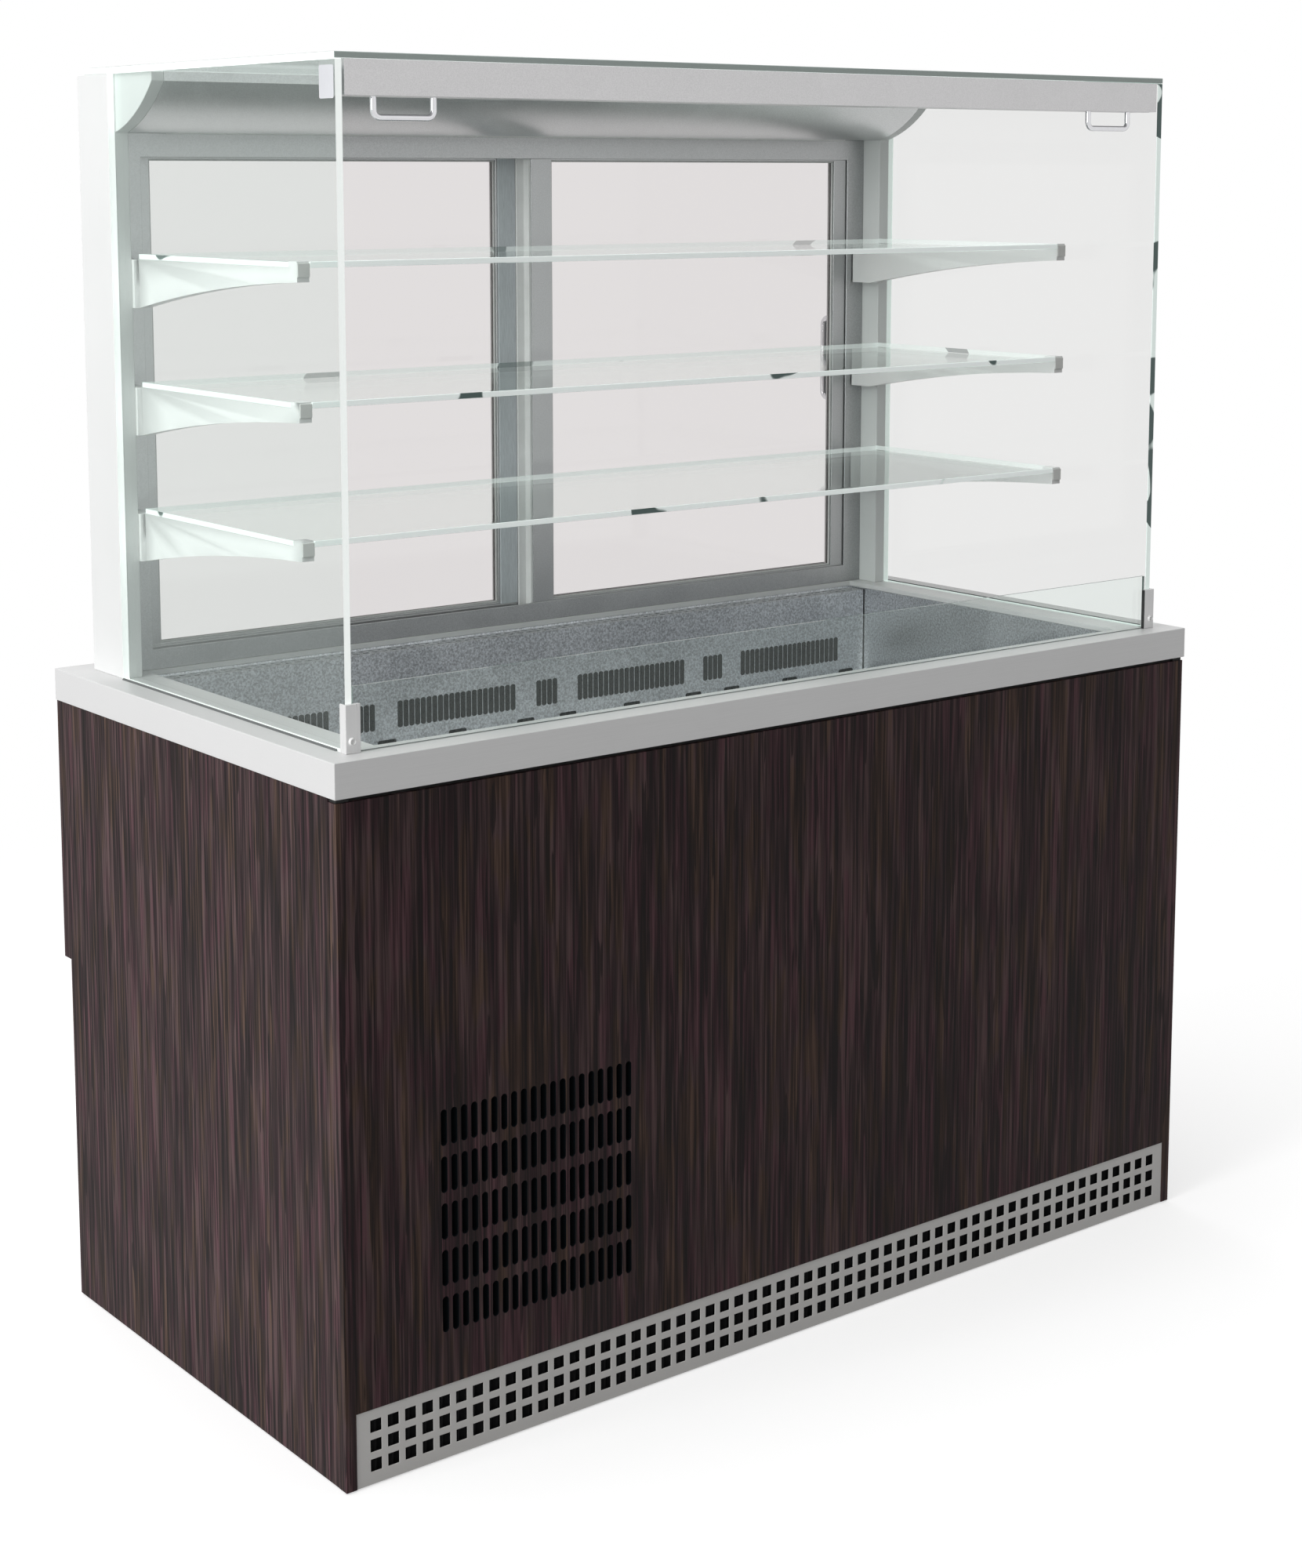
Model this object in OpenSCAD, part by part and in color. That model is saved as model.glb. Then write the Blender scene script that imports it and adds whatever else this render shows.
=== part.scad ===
// Refrigerated self-service bakery display case.
// A laminate counter cabinet carries a stainless worktop with a chilled well,
// and on it a glass case with three shelves, a canopy, two rear sliding doors
// and a night blind that pulls down over the open front.
//
// Frame: +Z is up, the open front faces -Y, and the origin lies on the floor
// under the middle of the worktop. Lengths are in millimetres.

/* [Worktop] */
// Width of the worktop, the widest piece
worktop_width = 1480; // [1440:10:1600]
// Depth of the worktop, the deepest piece
worktop_depth = 744; // [740:1:760]
// Height of the worktop's top face above the floor
worktop_height = 900; // [880:5:940]
// Height of the folded edge round the worktop
fascia_height = 44; // [36:1:50]
// Thickness of the worktop's sheet
worktop_sheet = 2; // [1.5:0.5:2.5]
// Width of the return lip under the folded edge
worktop_lip = 14; // [8:1:18]

/* [Cabinet] */
// Thickness of the laminate boards
board = 18; // [16:1:19]
// How far the boards stand in from the worktop's edge
board_setback = 2; // [1:0.5:4]
// Height at which the sides step in at the rear
step_height = 490; // [460:5:520]
// How far the lower rear stands in from the worktop's rear edge
step_depth = 20; // [18:1:24]
// Height of the dark gap between the front board and the worktop
shadow_gap = 5; // [3:1:8]
// Width of the front board's legs beside the plinth grille
front_leg = 15; // [12:1:20]
// Side of the square tubes of the base
base_tube = 40; // [30:1:40]
// Side of the square tubes of the uprights and rails
frame_tube = 30; // [25:1:30]
// Number of levelling feet along the front, and again along the rear
feet_per_row = 3; // [2:1:4]

/* [Plinth grille] */
// Height of the plinth grille
grille_height = 98; // [94:1:100]
// Side of the grille's square holes
grille_hole = 16; // [12:0.5:17]
// Number of columns of holes
grille_columns = 57; // [20:1:57]
// Number of rows of holes
grille_rows = 3; // [1:1:3]
// Pitch of the rows
grille_row_pitch = 25; // [22:0.5:26]

/* [Front vent] */
// Number of columns of slots
vent_columns = 20; // [5:1:20]
// Number of rows of slots
vent_rows = 5; // [1:1:5]
// Width of one slot
vent_slot_width = 9; // [5:0.5:10]
// Length of one slot
vent_slot_length = 46; // [20:1:50]
// Pitch of the columns
vent_column_pitch = 14.85; // [12:0.05:16]
// Pitch of the rows
vent_row_pitch = 59.6; // [52:0.1:62]
// Distance of the first column's centre from the worktop's left end
vent_left = 146.7; // [100:0.1:200]
// Height of the bottom row's lower end
vent_bottom = 166; // [120:1:180]

/* [Chilled well] */
// Width of the well, four gastronorm pans of 325
well_width = 1300; // [1300:1:1300]
// Front edge of the well, behind the worktop's front edge
well_front = 57; // [56:1:60]
// Rear edge of the well, behind the worktop's front edge
well_rear = 648; // [640:1:648]
// Depth of the rim folded down round the well
rim_depth = 8; // [6:1:12]
// Height of the well's floor
well_floor = 600; // [590:5:610]
// Thickness of the well's sheet
liner_sheet = 2; // [1:0.5:2]
// Thickness of the foam round the well
foam = 35; // [25:1:35]
// Height of the deck plates' top face
deck_height = 742; // [735:1:745]
// Front face of the air duct's panel, behind the worktop's front edge
duct_front = 613; // [605:1:615]
// Height of the air duct panel's top face
duct_top = 890; // [880:1:892]
// Number of vertical slots in each wide group of the air duct
duct_slots = 21; // [5:1:22]
// Length of the vertical slots
duct_slot_length = 40; // [20:1:50]
// Width of the vertical slots
duct_slot_width = 6.5; // [4:0.5:7]
// Pitch of the vertical slots
duct_slot_pitch = 10; // [9:0.5:10]
// Height of the vertical slots' lower end
duct_slot_bottom = 776; // [765:1:790]

/* [Posts and canopy] */
// Outer faces of the rear posts, in from the worktop's end
post_inset = 40; // [40:1:44]
// Width of a post
post_width = 27; // [24:1:30]
// Front face of the posts, behind the worktop's front edge
post_front = 612; // [610:1:616]
// Rear face of the posts and the canopy, behind the worktop's front edge
post_rear = 704; // [700:1:712]
// Height of the posts and of the canopy's top face
post_top = 1706; // [1680:1:1740]
// Front tip of the canopy, behind the worktop's front edge
canopy_front = 508; // [500:1:520]
// Height of the canopy over its flat underside
canopy_drop = 76; // [70:1:80]
// Height of the canopy's upright front lip
canopy_lip = 12; // [8:1:16]
// Radius of the canopy's curved underside
canopy_radius = 206; // [150:1:300]
// Thickness of the canopy's sheet
canopy_sheet = 1.5; // [1:0.5:2]

/* [Glass] */
// Outer faces of the side glasses, in from the worktop's end
glass_inset = 38; // [38:1:40]
// Front edge of the side glasses, behind the worktop's front edge
glass_front = 38; // [36:1:40]
// Thickness of the side glasses
side_glass = 10; // [8:1:10]
// Thickness of the top glass
top_glass_thickness = 8; // [6:1:10]
// Rear edge of the top glass, behind the worktop's front edge
top_glass_rear = 683; // [670:1:690]
// Thickness of the low front glass
low_glass = 6; // [5:1:6]
// Height of the low front glass above the worktop
low_glass_height = 79; // [65:1:90]

/* [Glass clips] */
// Height of a corner clip
clip_height = 59; // [50:1:60]
// Width of a corner clip
clip_width = 25; // [24:1:26]
// Depth of a corner clip
clip_depth = 28; // [26:1:30]
// Diameter of the clip's round screw head
clip_screw = 11; // [8:1:14]

/* [Sliding doors] */
// Front face of the door frame, behind the worktop's front edge
frame_front = 650; // [650:1:652]
// Depth of the door frame
frame_depth = 47; // [47:1:50]
// Height of the frame's sill
sill_height = 28; // [26:1:32]
// Height of the frame's header
header_height = 32; // [28:1:36]
// Width of the frame's jambs
jamb_width = 36; // [30:1:38]
// Width of one door leaf
leaf_width = 644; // [642:1:646]
// Thickness of a door leaf
leaf_thickness = 16; // [14:1:16]
// Width of the leaf's stiles
stile_width = 38; // [30:1:40]
// Distance of each leaf's meeting edge from the middle
meeting_gap = 5; // [3:1:6]
// Thickness of the door's glass
door_glass = 5; // [4:1:6]
// Length of the door handles
door_handle_length = 141; // [110:1:160]
// Height of the door handles' middle
door_handle_height = 1273; // [1200:1:1350]

/* [Shelves] */
// Height of the bottom shelf's top face
bottom_shelf_height = 1131; // [1110:1:1140]
// Pitch of the shelves
shelf_pitch = 170; // [160:1:175]
// Thickness of the shelf glass
shelf_glass = 8; // [6:1:8]
// Front edge of the shelves, behind the worktop's front edge
shelf_front = 190; // [180:5:260]
// Rear edge of the shelves, behind the worktop's front edge
shelf_rear = 605; // [590:1:608]
// Width of a bracket
bracket_width = 17; // [14:1:20]
// Outer face of a bracket, in from the worktop's end
bracket_inset = 74; // [72:1:78]
// Depth of a bracket at the post
bracket_root = 64; // [50:1:70]
// Depth of a bracket at the tip
bracket_tip = 17; // [14:1:24]

/* [Night blind] */
// Depth of the blind's cassette
cassette_depth = 56; // [48:1:60]
// Height of the blind's cassette
cassette_height = 41; // [38:1:44]
// Wall of the cassette
cassette_wall = 1.5; // [1.5:0.5:2]
// Radius of the roller tube
tube_radius = 8; // [7:0.5:8.5]
// Radius over the rolled cloth
roll_radius = 11; // [10:0.5:11.5]
// Distance of the pull handles' middle from the case's middle
pull_handle_place = 601; // [300:1:610]
// Width of a pull handle over its bar
pull_handle_width = 91; // [70:1:100]
// Drop of a pull handle under the cassette
pull_handle_drop = 28; // [24:1:34]
// Diameter of the pull handle's bar
pull_handle_bar = 8; // [6:1:9]

/* [Cooling] */
// Radius of the condenser fan's blades
condenser_fan_radius = 118; // [90:1:120]
// Radius of the evaporator fans' blades
evaporator_fan_radius = 54; // [45:1:55]
// Distance of the evaporator fans from the middle
evaporator_fan_place = 325; // [300:5:400]
// Number of the condenser's fins
condenser_fins = 27; // [10:1:30]
// Number of the evaporator's fins
evaporator_fins = 40; // [10:1:44]

/* [Rear doors and controls] */
// Thickness of a plant door
plant_door = 18; // [18:1:18]
// Distance of a plant door's pivot from the side board
pivot_inset = 11; // [11:0.1:11.3]
// Radius of the pivot pins
pivot_radius = 4; // [3:0.5:4]
// Running clearance of pins in their holes
running_fit = 0.05; // [0.02:0.01:0.1]
// Number of rows of louvre slots in the left plant door
louvre_rows = 12; // [4:1:12]
// Width of the control panel
control_width = 230; // [210:5:260]
// Height of the control panel
control_height = 64; // [56:1:80]

/* [Hidden] */
$fn = 48;

// Small distance that carries a cut past the face it opens.
past = 1;
half_width = worktop_width / 2;
front_edge = -worktop_depth / 2;

// Heights that several pieces share.
fascia_bottom = worktop_height - fascia_height;
base_top = 100;
base_sheet = 2;
board_bottom = 2;
front_panel_top = fascia_bottom - shadow_gap;
glass_top = post_top;
canopy_bottom = post_top - canopy_drop;
header_bottom = canopy_bottom - header_height;
cassette_bottom = glass_top - cassette_height;
rim_bottom = worktop_height - rim_depth;
well_bottom = well_floor - liner_sheet - foam;

// Half widths, measured from the case's middle.
board_outer = half_width - board_setback;
board_inner = board_outer - board;
well_half = well_width / 2;
post_outer = half_width - post_inset;
post_inner = post_outer - post_width;
glass_outer = half_width - glass_inset;
glass_inner = glass_outer - side_glass;
jamb_inner = post_inner - jamb_width;
bracket_outer = half_width - bracket_inset;
bracket_inner = bracket_outer - bracket_width;

// Depth at a distance behind the worktop's front edge.
function behind(distance) = front_edge + distance;

// A box from one corner to the opposite one.
module block(low, high) {
    translate(low)
        cube(high - low);
}

// The same piece on the left and on the right.
module both_sides() {
    children();
    mirror([1, 0, 0])
        children();
}

// A flat outline in depth (x) and height (y), as a plate across the width.
module across(from_x, to_x) {
    translate([from_x, 0, 0])
        rotate([90, 0, 90])
            linear_extrude(to_x - from_x)
                children();
}

// A flat outline in width (x) and height (y), as a plate facing the front.
module facing(from_y, to_y) {
    translate([0, to_y, 0])
        rotate([90, 0, 0])
            linear_extrude(to_y - from_y)
                children();
}

// A slot with round ends, upright or lying, about its middle.
module slot(width, height) {
    straight = abs(height - width) / 2;
    radius = min(width, height) / 2;
    upright = height > width;
    square([upright ? width : 2 * straight, upright ? 2 * straight : height], center = true);
    for (side = [-1, 1])
        translate([upright ? 0 : side * straight, upright ? side * straight : 0])
            circle(radius, $fn = 24);
}

// A round bar between two points that differ along any direction.
module bar(start, end, radius) {
    way = end - start;
    length = norm(way);
    tilt = acos(way.z / length);
    turn = atan2(way.y, way.x);
    translate(start)
        rotate([0, tilt, turn])
            cylinder(length, radius, radius);
}

// A pipe along a list of points, with ball corners.
module pipe(points, radius) {
    for (index = [0 : len(points) - 2])
        bar(points[index], points[index + 1], radius);
    for (index = [1 : len(points) - 2])
        translate(points[index])
            sphere(radius);
}

// ---- Base and cabinet ----

foot_radius = 25;
foot_thickness = 12;
stem_radius = 5;
feet_reach = board_inner - 49;

module levelling_feet() {
    color("dimgray")
        for (column = [0 : feet_per_row - 1])
            for (depth = [behind(44), behind(684)])
                translate([-feet_reach + 2 * feet_reach * column / (feet_per_row - 1), depth, 0]) {
                    cylinder(foot_thickness, foot_radius, foot_radius - 3);
                    cylinder(base_top - base_tube, stem_radius, stem_radius);
                }
}

upright_front = behind(24);
upright_rear = behind(674);

// A square tube with both ends open, along X, Y or Z.
module tube(low, high, along) {
    wall = 2;
    inside = [
        along == "x" ? past : -wall,
        along == "y" ? past : -wall,
        along == "z" ? past : -wall
    ];
    difference() {
        block(low, high);
        block(low - inside, high + inside);
    }
}

module cabinet_frame() {
    reach = board_inner;
    low = base_top - base_tube;
    color("silver") {
        for (depth = [behind(24), behind(664)])
            tube([-reach, depth, low], [reach, depth + base_tube, base_top], "x");
        both_sides() {
            tube([reach - base_tube, behind(64), low], [reach, behind(664), base_top], "y");
            for (depth = [upright_front, upright_rear])
                tube(
                    [reach - frame_tube, depth, base_top + base_sheet],
                    [reach, depth + frame_tube, worktop_height - worktop_sheet],
                    "z"
                );
            tube(
                [300, upright_front + frame_tube, well_bottom - frame_tube],
                [300 + frame_tube, upright_rear, well_bottom],
                "y"
            );
        }
        for (depth = [upright_front, upright_rear])
            tube(
                [frame_tube - reach, depth, well_bottom - frame_tube],
                [reach - frame_tube, depth + frame_tube, well_bottom],
                "x"
            );
        tube(
            [-frame_tube / 2, upright_rear, base_top + base_sheet],
            [frame_tube / 2, upright_rear + frame_tube, well_bottom - frame_tube],
            "z"
        );
        block([-reach, behind(24), base_top], [reach, behind(704), base_top + base_sheet]);
    }
}

grille_edge = board_outer - front_leg;
grille_margin = 20;
grille_column_pitch = (2 * (grille_edge - grille_margin) - grille_hole) / (grille_columns - 1);
grille_first = 18;

module plinth_grille() {
    thickness = 1.5;
    flange = 14;
    color("darkgray") {
        facing(behind(3), behind(3) + thickness)
            difference() {
                translate([-grille_edge, board_bottom])
                    square([2 * grille_edge, grille_height - board_bottom]);
                for (column = [0 : grille_columns - 1])
                    for (row = [0 : grille_rows - 1])
                        translate([
                            grille_margin - grille_edge + column * grille_column_pitch,
                            grille_first + row * grille_row_pitch
                        ])
                            square(grille_hole);
            }
        for (height = [board_bottom, grille_height - thickness])
            block(
                [-grille_edge, behind(3), height],
                [grille_edge, behind(3) + flange, height + thickness]
            );
    }
}

module side_panel_outline() {
    polygon([
        [behind(board_setback + board), board_bottom],
        [behind(worktop_depth - step_depth), board_bottom],
        [behind(worktop_depth - step_depth), step_height],
        [behind(worktop_depth), step_height],
        [behind(worktop_depth), fascia_bottom],
        [behind(board_setback + board), fascia_bottom]
    ]);
}

module right_side_panel() {
    color([0.29, 0.24, 0.24])
        across(board_inner, board_outer)
            side_panel_outline();
}

module left_side_panel() {
    mirror([1, 0, 0])
        right_side_panel();
}

module vent_outline() {
    for (column = [0 : vent_columns - 1])
        for (row = [0 : vent_rows - 1])
            translate([
                vent_left - half_width + column * vent_column_pitch,
                vent_bottom + vent_slot_length / 2 + row * vent_row_pitch
            ])
                slot(vent_slot_width, vent_slot_length);
}

module front_panel() {
    color([0.19, 0.16, 0.16])
        facing(behind(board_setback), behind(board_setback + board))
            difference() {
                translate([-board_outer, board_bottom])
                    square([2 * board_outer, front_panel_top - board_bottom]);
                translate([-grille_edge, 0])
                    square([2 * grille_edge, grille_height]);
                vent_outline();
            }
}

module gap_seal() {
    color("black")
        block(
            [-board_inner, behind(board_setback + 6), front_panel_top],
            [board_inner, behind(board_setback + 14), fascia_bottom]
        );
}

// ---- Worktop and well ----

well_front_y = behind(well_front);
well_rear_y = behind(well_rear);

module well_block(grow, low, high) {
    block(
        [-well_half - grow, well_front_y - grow, low],
        [well_half + grow, well_rear_y + grow, high]
    );
}

module worktop() {
    sheet = worktop_sheet;
    color("gainsboro") {
        difference() {
            block([-half_width, front_edge, fascia_bottom], [half_width, -front_edge, worktop_height]);
            block(
                [sheet - half_width, front_edge + sheet, fascia_bottom + sheet],
                [half_width - sheet, -front_edge - sheet, worktop_height - sheet]
            );
            block(
                [worktop_lip - half_width, front_edge + worktop_lip, fascia_bottom - past],
                [half_width - worktop_lip, -front_edge - worktop_lip, worktop_height - 2 * sheet]
            );
            well_block(0, rim_bottom, worktop_height + past);
        }
        difference() {
            well_block(sheet, rim_bottom, worktop_height - sheet);
            well_block(0, rim_bottom - past, worktop_height);
        }
    }
}

ledge = 12;
ledge_top = deck_height - 13.5;

module well_liner() {
    color("silver") {
        difference() {
            well_block(liner_sheet, well_floor - liner_sheet, rim_bottom);
            well_block(0, well_floor, rim_bottom + past);
            translate([drain_x, drain_y, well_floor - liner_sheet - past])
                cylinder(liner_sheet + 2 * past, drain_radius, drain_radius);
            pipe_passages(well_floor - liner_sheet - past, well_floor + past);
        }
        block(
            [-well_half, well_front_y, ledge_top - liner_sheet],
            [well_half, well_front_y + ledge, ledge_top]
        );
    }
}

// Holes through which the two coil pipes leave the well.
module pipe_passages(low, high) {
    for (place = [[pipe_x, suction_radius], [pipe_x - pipe_spacing, liquid_radius]])
        translate([place[0], pipe_y, low])
            cylinder(high - low, place[1] + passage_gap, place[1] + passage_gap);
}

module well_insulation() {
    top = worktop_height - worktop_sheet;
    color("khaki")
        difference() {
            well_block(liner_sheet + foam, well_bottom, top);
            well_block(liner_sheet, well_floor - liner_sheet, top + past);
            translate([drain_x, drain_y, well_bottom - past])
                cylinder(foam + 2 * past, drain_radius, drain_radius);
            pipe_passages(well_bottom - past, well_floor);
        }
}

duct_bay = well_width / 4;
duct_sheet = 1.5;

// One bay of the air duct: a wide group of slots, a narrow group and low slots.
module duct_bay_outline(last) {
    wide = (duct_slots - 1) * duct_slot_pitch;
    middle = duct_slot_bottom + duct_slot_length / 2;
    for (index = [0 : duct_slots - 1])
        translate([index * duct_slot_pitch - wide / 2, middle])
            slot(duct_slot_width, duct_slot_length);
    if (!last)
        for (index = [0 : 3])
            translate([duct_bay / 2 + (index - 1.5) * duct_slot_pitch, middle])
                slot(duct_slot_width, duct_slot_length);
    for (side = [-1, 0, 1])
        translate([side * 123, duct_slot_bottom - 19])
            slot(32, 7);
}

module duct_panel() {
    reach = well_half - 2;
    front = behind(duct_front);
    color("lightgray") {
        facing(front, front + duct_sheet)
            difference() {
                translate([-reach, ledge_top - duct_sheet])
                    square([2 * reach, duct_top - ledge_top + duct_sheet]);
                for (bay = [0 : 3])
                    translate([(bay - 1.5) * duct_bay, 0])
                        duct_bay_outline(bay == 3);
            }
        translate([0, 0, duct_top - duct_sheet])
            linear_extrude(duct_sheet)
                difference() {
                    translate([-reach, front])
                        square([2 * reach, well_rear_y - front]);
                    for (column = [0 : 79])
                        for (row = [0 : 1])
                            translate([(column - 39.5) * 16, front + 11 + row * 13])
                                slot(11, 6);
                }
        block(
            [-reach, front - ledge, ledge_top - duct_sheet],
            [reach, front + duct_sheet, ledge_top]
        );
    }
}

module deck_plate() {
    sheet = 1.5;
    reach = duct_bay / 2 - 0.5;
    front = well_front_y + 1;
    rear = behind(duct_front) - 1;
    fold = deck_height - ledge_top;
    difference() {
        block([-reach, front, deck_height - fold], [reach, rear, deck_height]);
        block(
            [sheet - reach, front + sheet, deck_height - fold - past],
            [reach - sheet, rear - sheet, deck_height - sheet]
        );
        translate([0, 0, deck_height - fold])
            linear_extrude(fold + past) {
                for (index = [0 : 10])
                    translate([(index - 5) * 27, front + 34])
                        slot(8, 30);
                for (side = [-1, 1])
                    translate([side * 110, rear - 40])
                        circle(12);
            }
    }
}

module deck_plates() {
    color("whitesmoke")
        for (bay = [0 : 3])
            translate([(bay - 1.5) * duct_bay, 0, 0])
                deck_plate();
}

// ---- Cooling ----

// A finned coil: fins across, tubes through them and a plate at each end.
module finned_coil(low, high, fins, tubes, tube_size) {
    size = high - low;
    step = (size.x - 4) / (fins + 1);
    for (index = [1 : fins])
        block(
            [low.x + index * step, low.y + 2, low.z + 4],
            [low.x + index * step + 1.2, high.y - 2, high.z - 4]
        );
    for (end = [low.x, high.x - 2])
        block([end, low.y, low.z], [end + 2, high.y, high.z]);
    for (index = [0 : tubes - 1])
        translate([low.x - 6, (low.y + high.y) / 2, low.z + size.z * (index + 0.5) / tubes])
            rotate([0, 90, 0])
                cylinder(size.x + 12, tube_size, tube_size, $fn = 24);
}

// A fan wheel about +Z with its hub's middle at the origin.
module fan_wheel(radius, hub, blades, depth) {
    cylinder(depth, hub, hub, center = true);
    intersection() {
        cylinder(depth, radius, radius, center = true);
        for (index = [0 : blades - 1])
            rotate([0, 0, index * 360 / blades])
                rotate([32, 0, 0])
                    translate([0, 0, -0.8])
                        linear_extrude(1.6)
                            polygon([
                                [hub - 4, -hub / 2],
                                [radius + 2, -radius * 0.32],
                                [radius + 2, radius * 0.32],
                                [hub - 4, hub / 2]
                            ]);
    }
}

evaporator_low = [-560, behind(90), well_floor + 12];
evaporator_high = [560, behind(230), well_floor + 112];
evaporator_tubes = 4;

module evaporator_coil() {
    color("lightsteelblue") {
        finned_coil(evaporator_low, evaporator_high, evaporator_fins, evaporator_tubes, 6);
        for (x = [evaporator_low.x, evaporator_high.x - 2])
            block([x, behind(100), well_floor], [x + 2, behind(220), evaporator_low.z]);
    }
}

fan_plate_y = behind(330);
evaporator_fan_z = (well_floor + ledge_top) / 2;
fan_gap = 4;

module fan_plate() {
    sheet = 2;
    hole = evaporator_fan_radius + fan_gap;
    color("silver")
        both_sides() {
            facing(fan_plate_y, fan_plate_y + sheet)
                difference() {
                    translate([0, well_floor])
                        square([well_half - 1, ledge_top - well_floor]);
                    translate([evaporator_fan_place, evaporator_fan_z])
                        circle(hole);
                }
            for (side = [-1, 1])
                block(
                    [evaporator_fan_place + side * 14 - 3, fan_plate_y + sheet, evaporator_fan_z - hole - 4],
                    [evaporator_fan_place + side * 14 + 3, fan_plate_y + 8, evaporator_fan_z + hole + 4]
                );
            translate([evaporator_fan_place, fan_plate_y + sheet, evaporator_fan_z])
                rotate([-90, 0, 0])
                    cylinder(40, 20, 20);
            translate([evaporator_fan_place, fan_plate_y - 18, evaporator_fan_z])
                rotate([-90, 0, 0])
                    cylinder(24, 3, 3);
        }
}

module evaporator_fan() {
    color("black")
        translate([evaporator_fan_place, fan_plate_y - 10, evaporator_fan_z])
            rotate([90, 0, 0])
                difference() {
                    fan_wheel(evaporator_fan_radius, 18, 5, 22);
                    translate([0, 0, -12])
                        cylinder(24, 3 + running_fit, 3 + running_fit);
                }
}

module right_evaporator_fan() {
    evaporator_fan();
}

module left_evaporator_fan() {
    translate([-2 * evaporator_fan_place, 0, 0])
        evaporator_fan();
}

drain_radius = 16;
drain_x = 120;
drain_y = behind(560);

module drain_pipe() {
    wall = 2;
    low = 470;
    capped = drain_x - 24;
    outlet = drain_x + 320;
    color("whitesmoke")
        difference() {
            union() {
                translate([drain_x, drain_y, low])
                    cylinder(well_floor - low, drain_radius, drain_radius);
                bar([capped, drain_y, low], [outlet, drain_y, low], drain_radius);
                bar([capped - 4, drain_y, low], [capped + 12, drain_y, low], drain_radius + 3);
            }
            translate([drain_x, drain_y, low])
                cylinder(well_floor - low + past, drain_radius - wall, drain_radius - wall);
            bar([capped, drain_y, low], [outlet + past, drain_y, low], drain_radius - wall);
        }
}

compressor_x = -470;
compressor_y = behind(480);
compressor_radius = 78;
compressor_foot = base_top + base_sheet;
stub_reach = 56;
stub_top = 176;

module compressor() {
    color("#222222")
        translate([compressor_x, compressor_y, compressor_foot]) {
            block([-95, -70, 12], [95, 70, 16]);
            for (x = [-80, 80])
                for (y = [-55, 55])
                    translate([x, y, 0])
                        cylinder(20, 11, 11);
            rotate_extrude()
                union() {
                    translate([0, 14])
                        square([compressor_radius, 120]);
                    translate([0, 134])
                        intersection() {
                            scale([1, 0.7])
                                circle(compressor_radius);
                            square(compressor_radius);
                        }
                    translate([0, 92])
                        square([compressor_radius + 4, 6]);
                }
            block([compressor_radius - 12, -28, 60], [compressor_radius + 26, 28, 124]);
            for (side = [-1, 1])
                translate([side * stub_reach, -20, 130])
                    cylinder(stub_top - 130, 8, 8);
        }
}

coil_left = -620;
coil_right = -285;
coil_low = 126;
coil_high = 470;
condenser_tubes = 8;

module condenser_coil() {
    color("dimgray")
        finned_coil(
            [coil_left, behind(30), coil_low],
            [coil_right, behind(74), coil_high],
            condenser_fins, condenser_tubes, 5
        );
}

condenser_fan_x = (coil_left + coil_right) / 2;
condenser_fan_z = (coil_low + coil_high) / 2;
shroud_y = behind(74);

module fan_shroud() {
    sheet = 2;
    hole = condenser_fan_radius + 5;
    color("gray") {
        facing(shroud_y, shroud_y + sheet)
            difference() {
                translate([coil_left, base_top + base_sheet])
                    square([coil_right - coil_left, coil_high - base_top - base_sheet]);
                translate([condenser_fan_x, condenser_fan_z])
                    circle(hole);
            }
        facing(shroud_y, shroud_y + 34)
            translate([condenser_fan_x, condenser_fan_z])
                difference() {
                    circle(hole + sheet);
                    circle(hole);
                }
        for (side = [-1, 1])
            block(
                [condenser_fan_x + side * 24 - 5, shroud_y + 52, base_top + base_sheet],
                [condenser_fan_x + side * 24 + 5, shroud_y + 56, coil_high]
            );
        for (height = [base_top + base_sheet, coil_high - 12])
            block(
                [condenser_fan_x - 29, shroud_y, height],
                [condenser_fan_x + 29, shroud_y + 56, height + 12]
            );
        translate([condenser_fan_x, shroud_y + 44, condenser_fan_z])
            rotate([-90, 0, 0])
                cylinder(58, 38, 38);
        translate([condenser_fan_x, shroud_y + 2, condenser_fan_z])
            rotate([-90, 0, 0])
                cylinder(44, 4, 4);
    }
}

module condenser_fan() {
    color("silver")
        translate([condenser_fan_x, shroud_y + 22, condenser_fan_z])
            rotate([90, 0, 0])
                difference() {
                    fan_wheel(condenser_fan_radius, 32, 5, 36);
                    translate([0, 0, -20])
                        cylinder(40, 4 + running_fit, 4 + running_fit);
                }
}

pipe_x = -590;
pipe_y = (evaporator_low.y + evaporator_high.y) / 2;
pipe_spacing = 24;
suction_radius = 6;
liquid_radius = 4;
passage_gap = 0.3;

// Height of one of a coil's tubes, counted from the bottom.
function tube_height(low, high, tubes, index) = low + (high - low) * (index + 0.5) / tubes;

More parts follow.
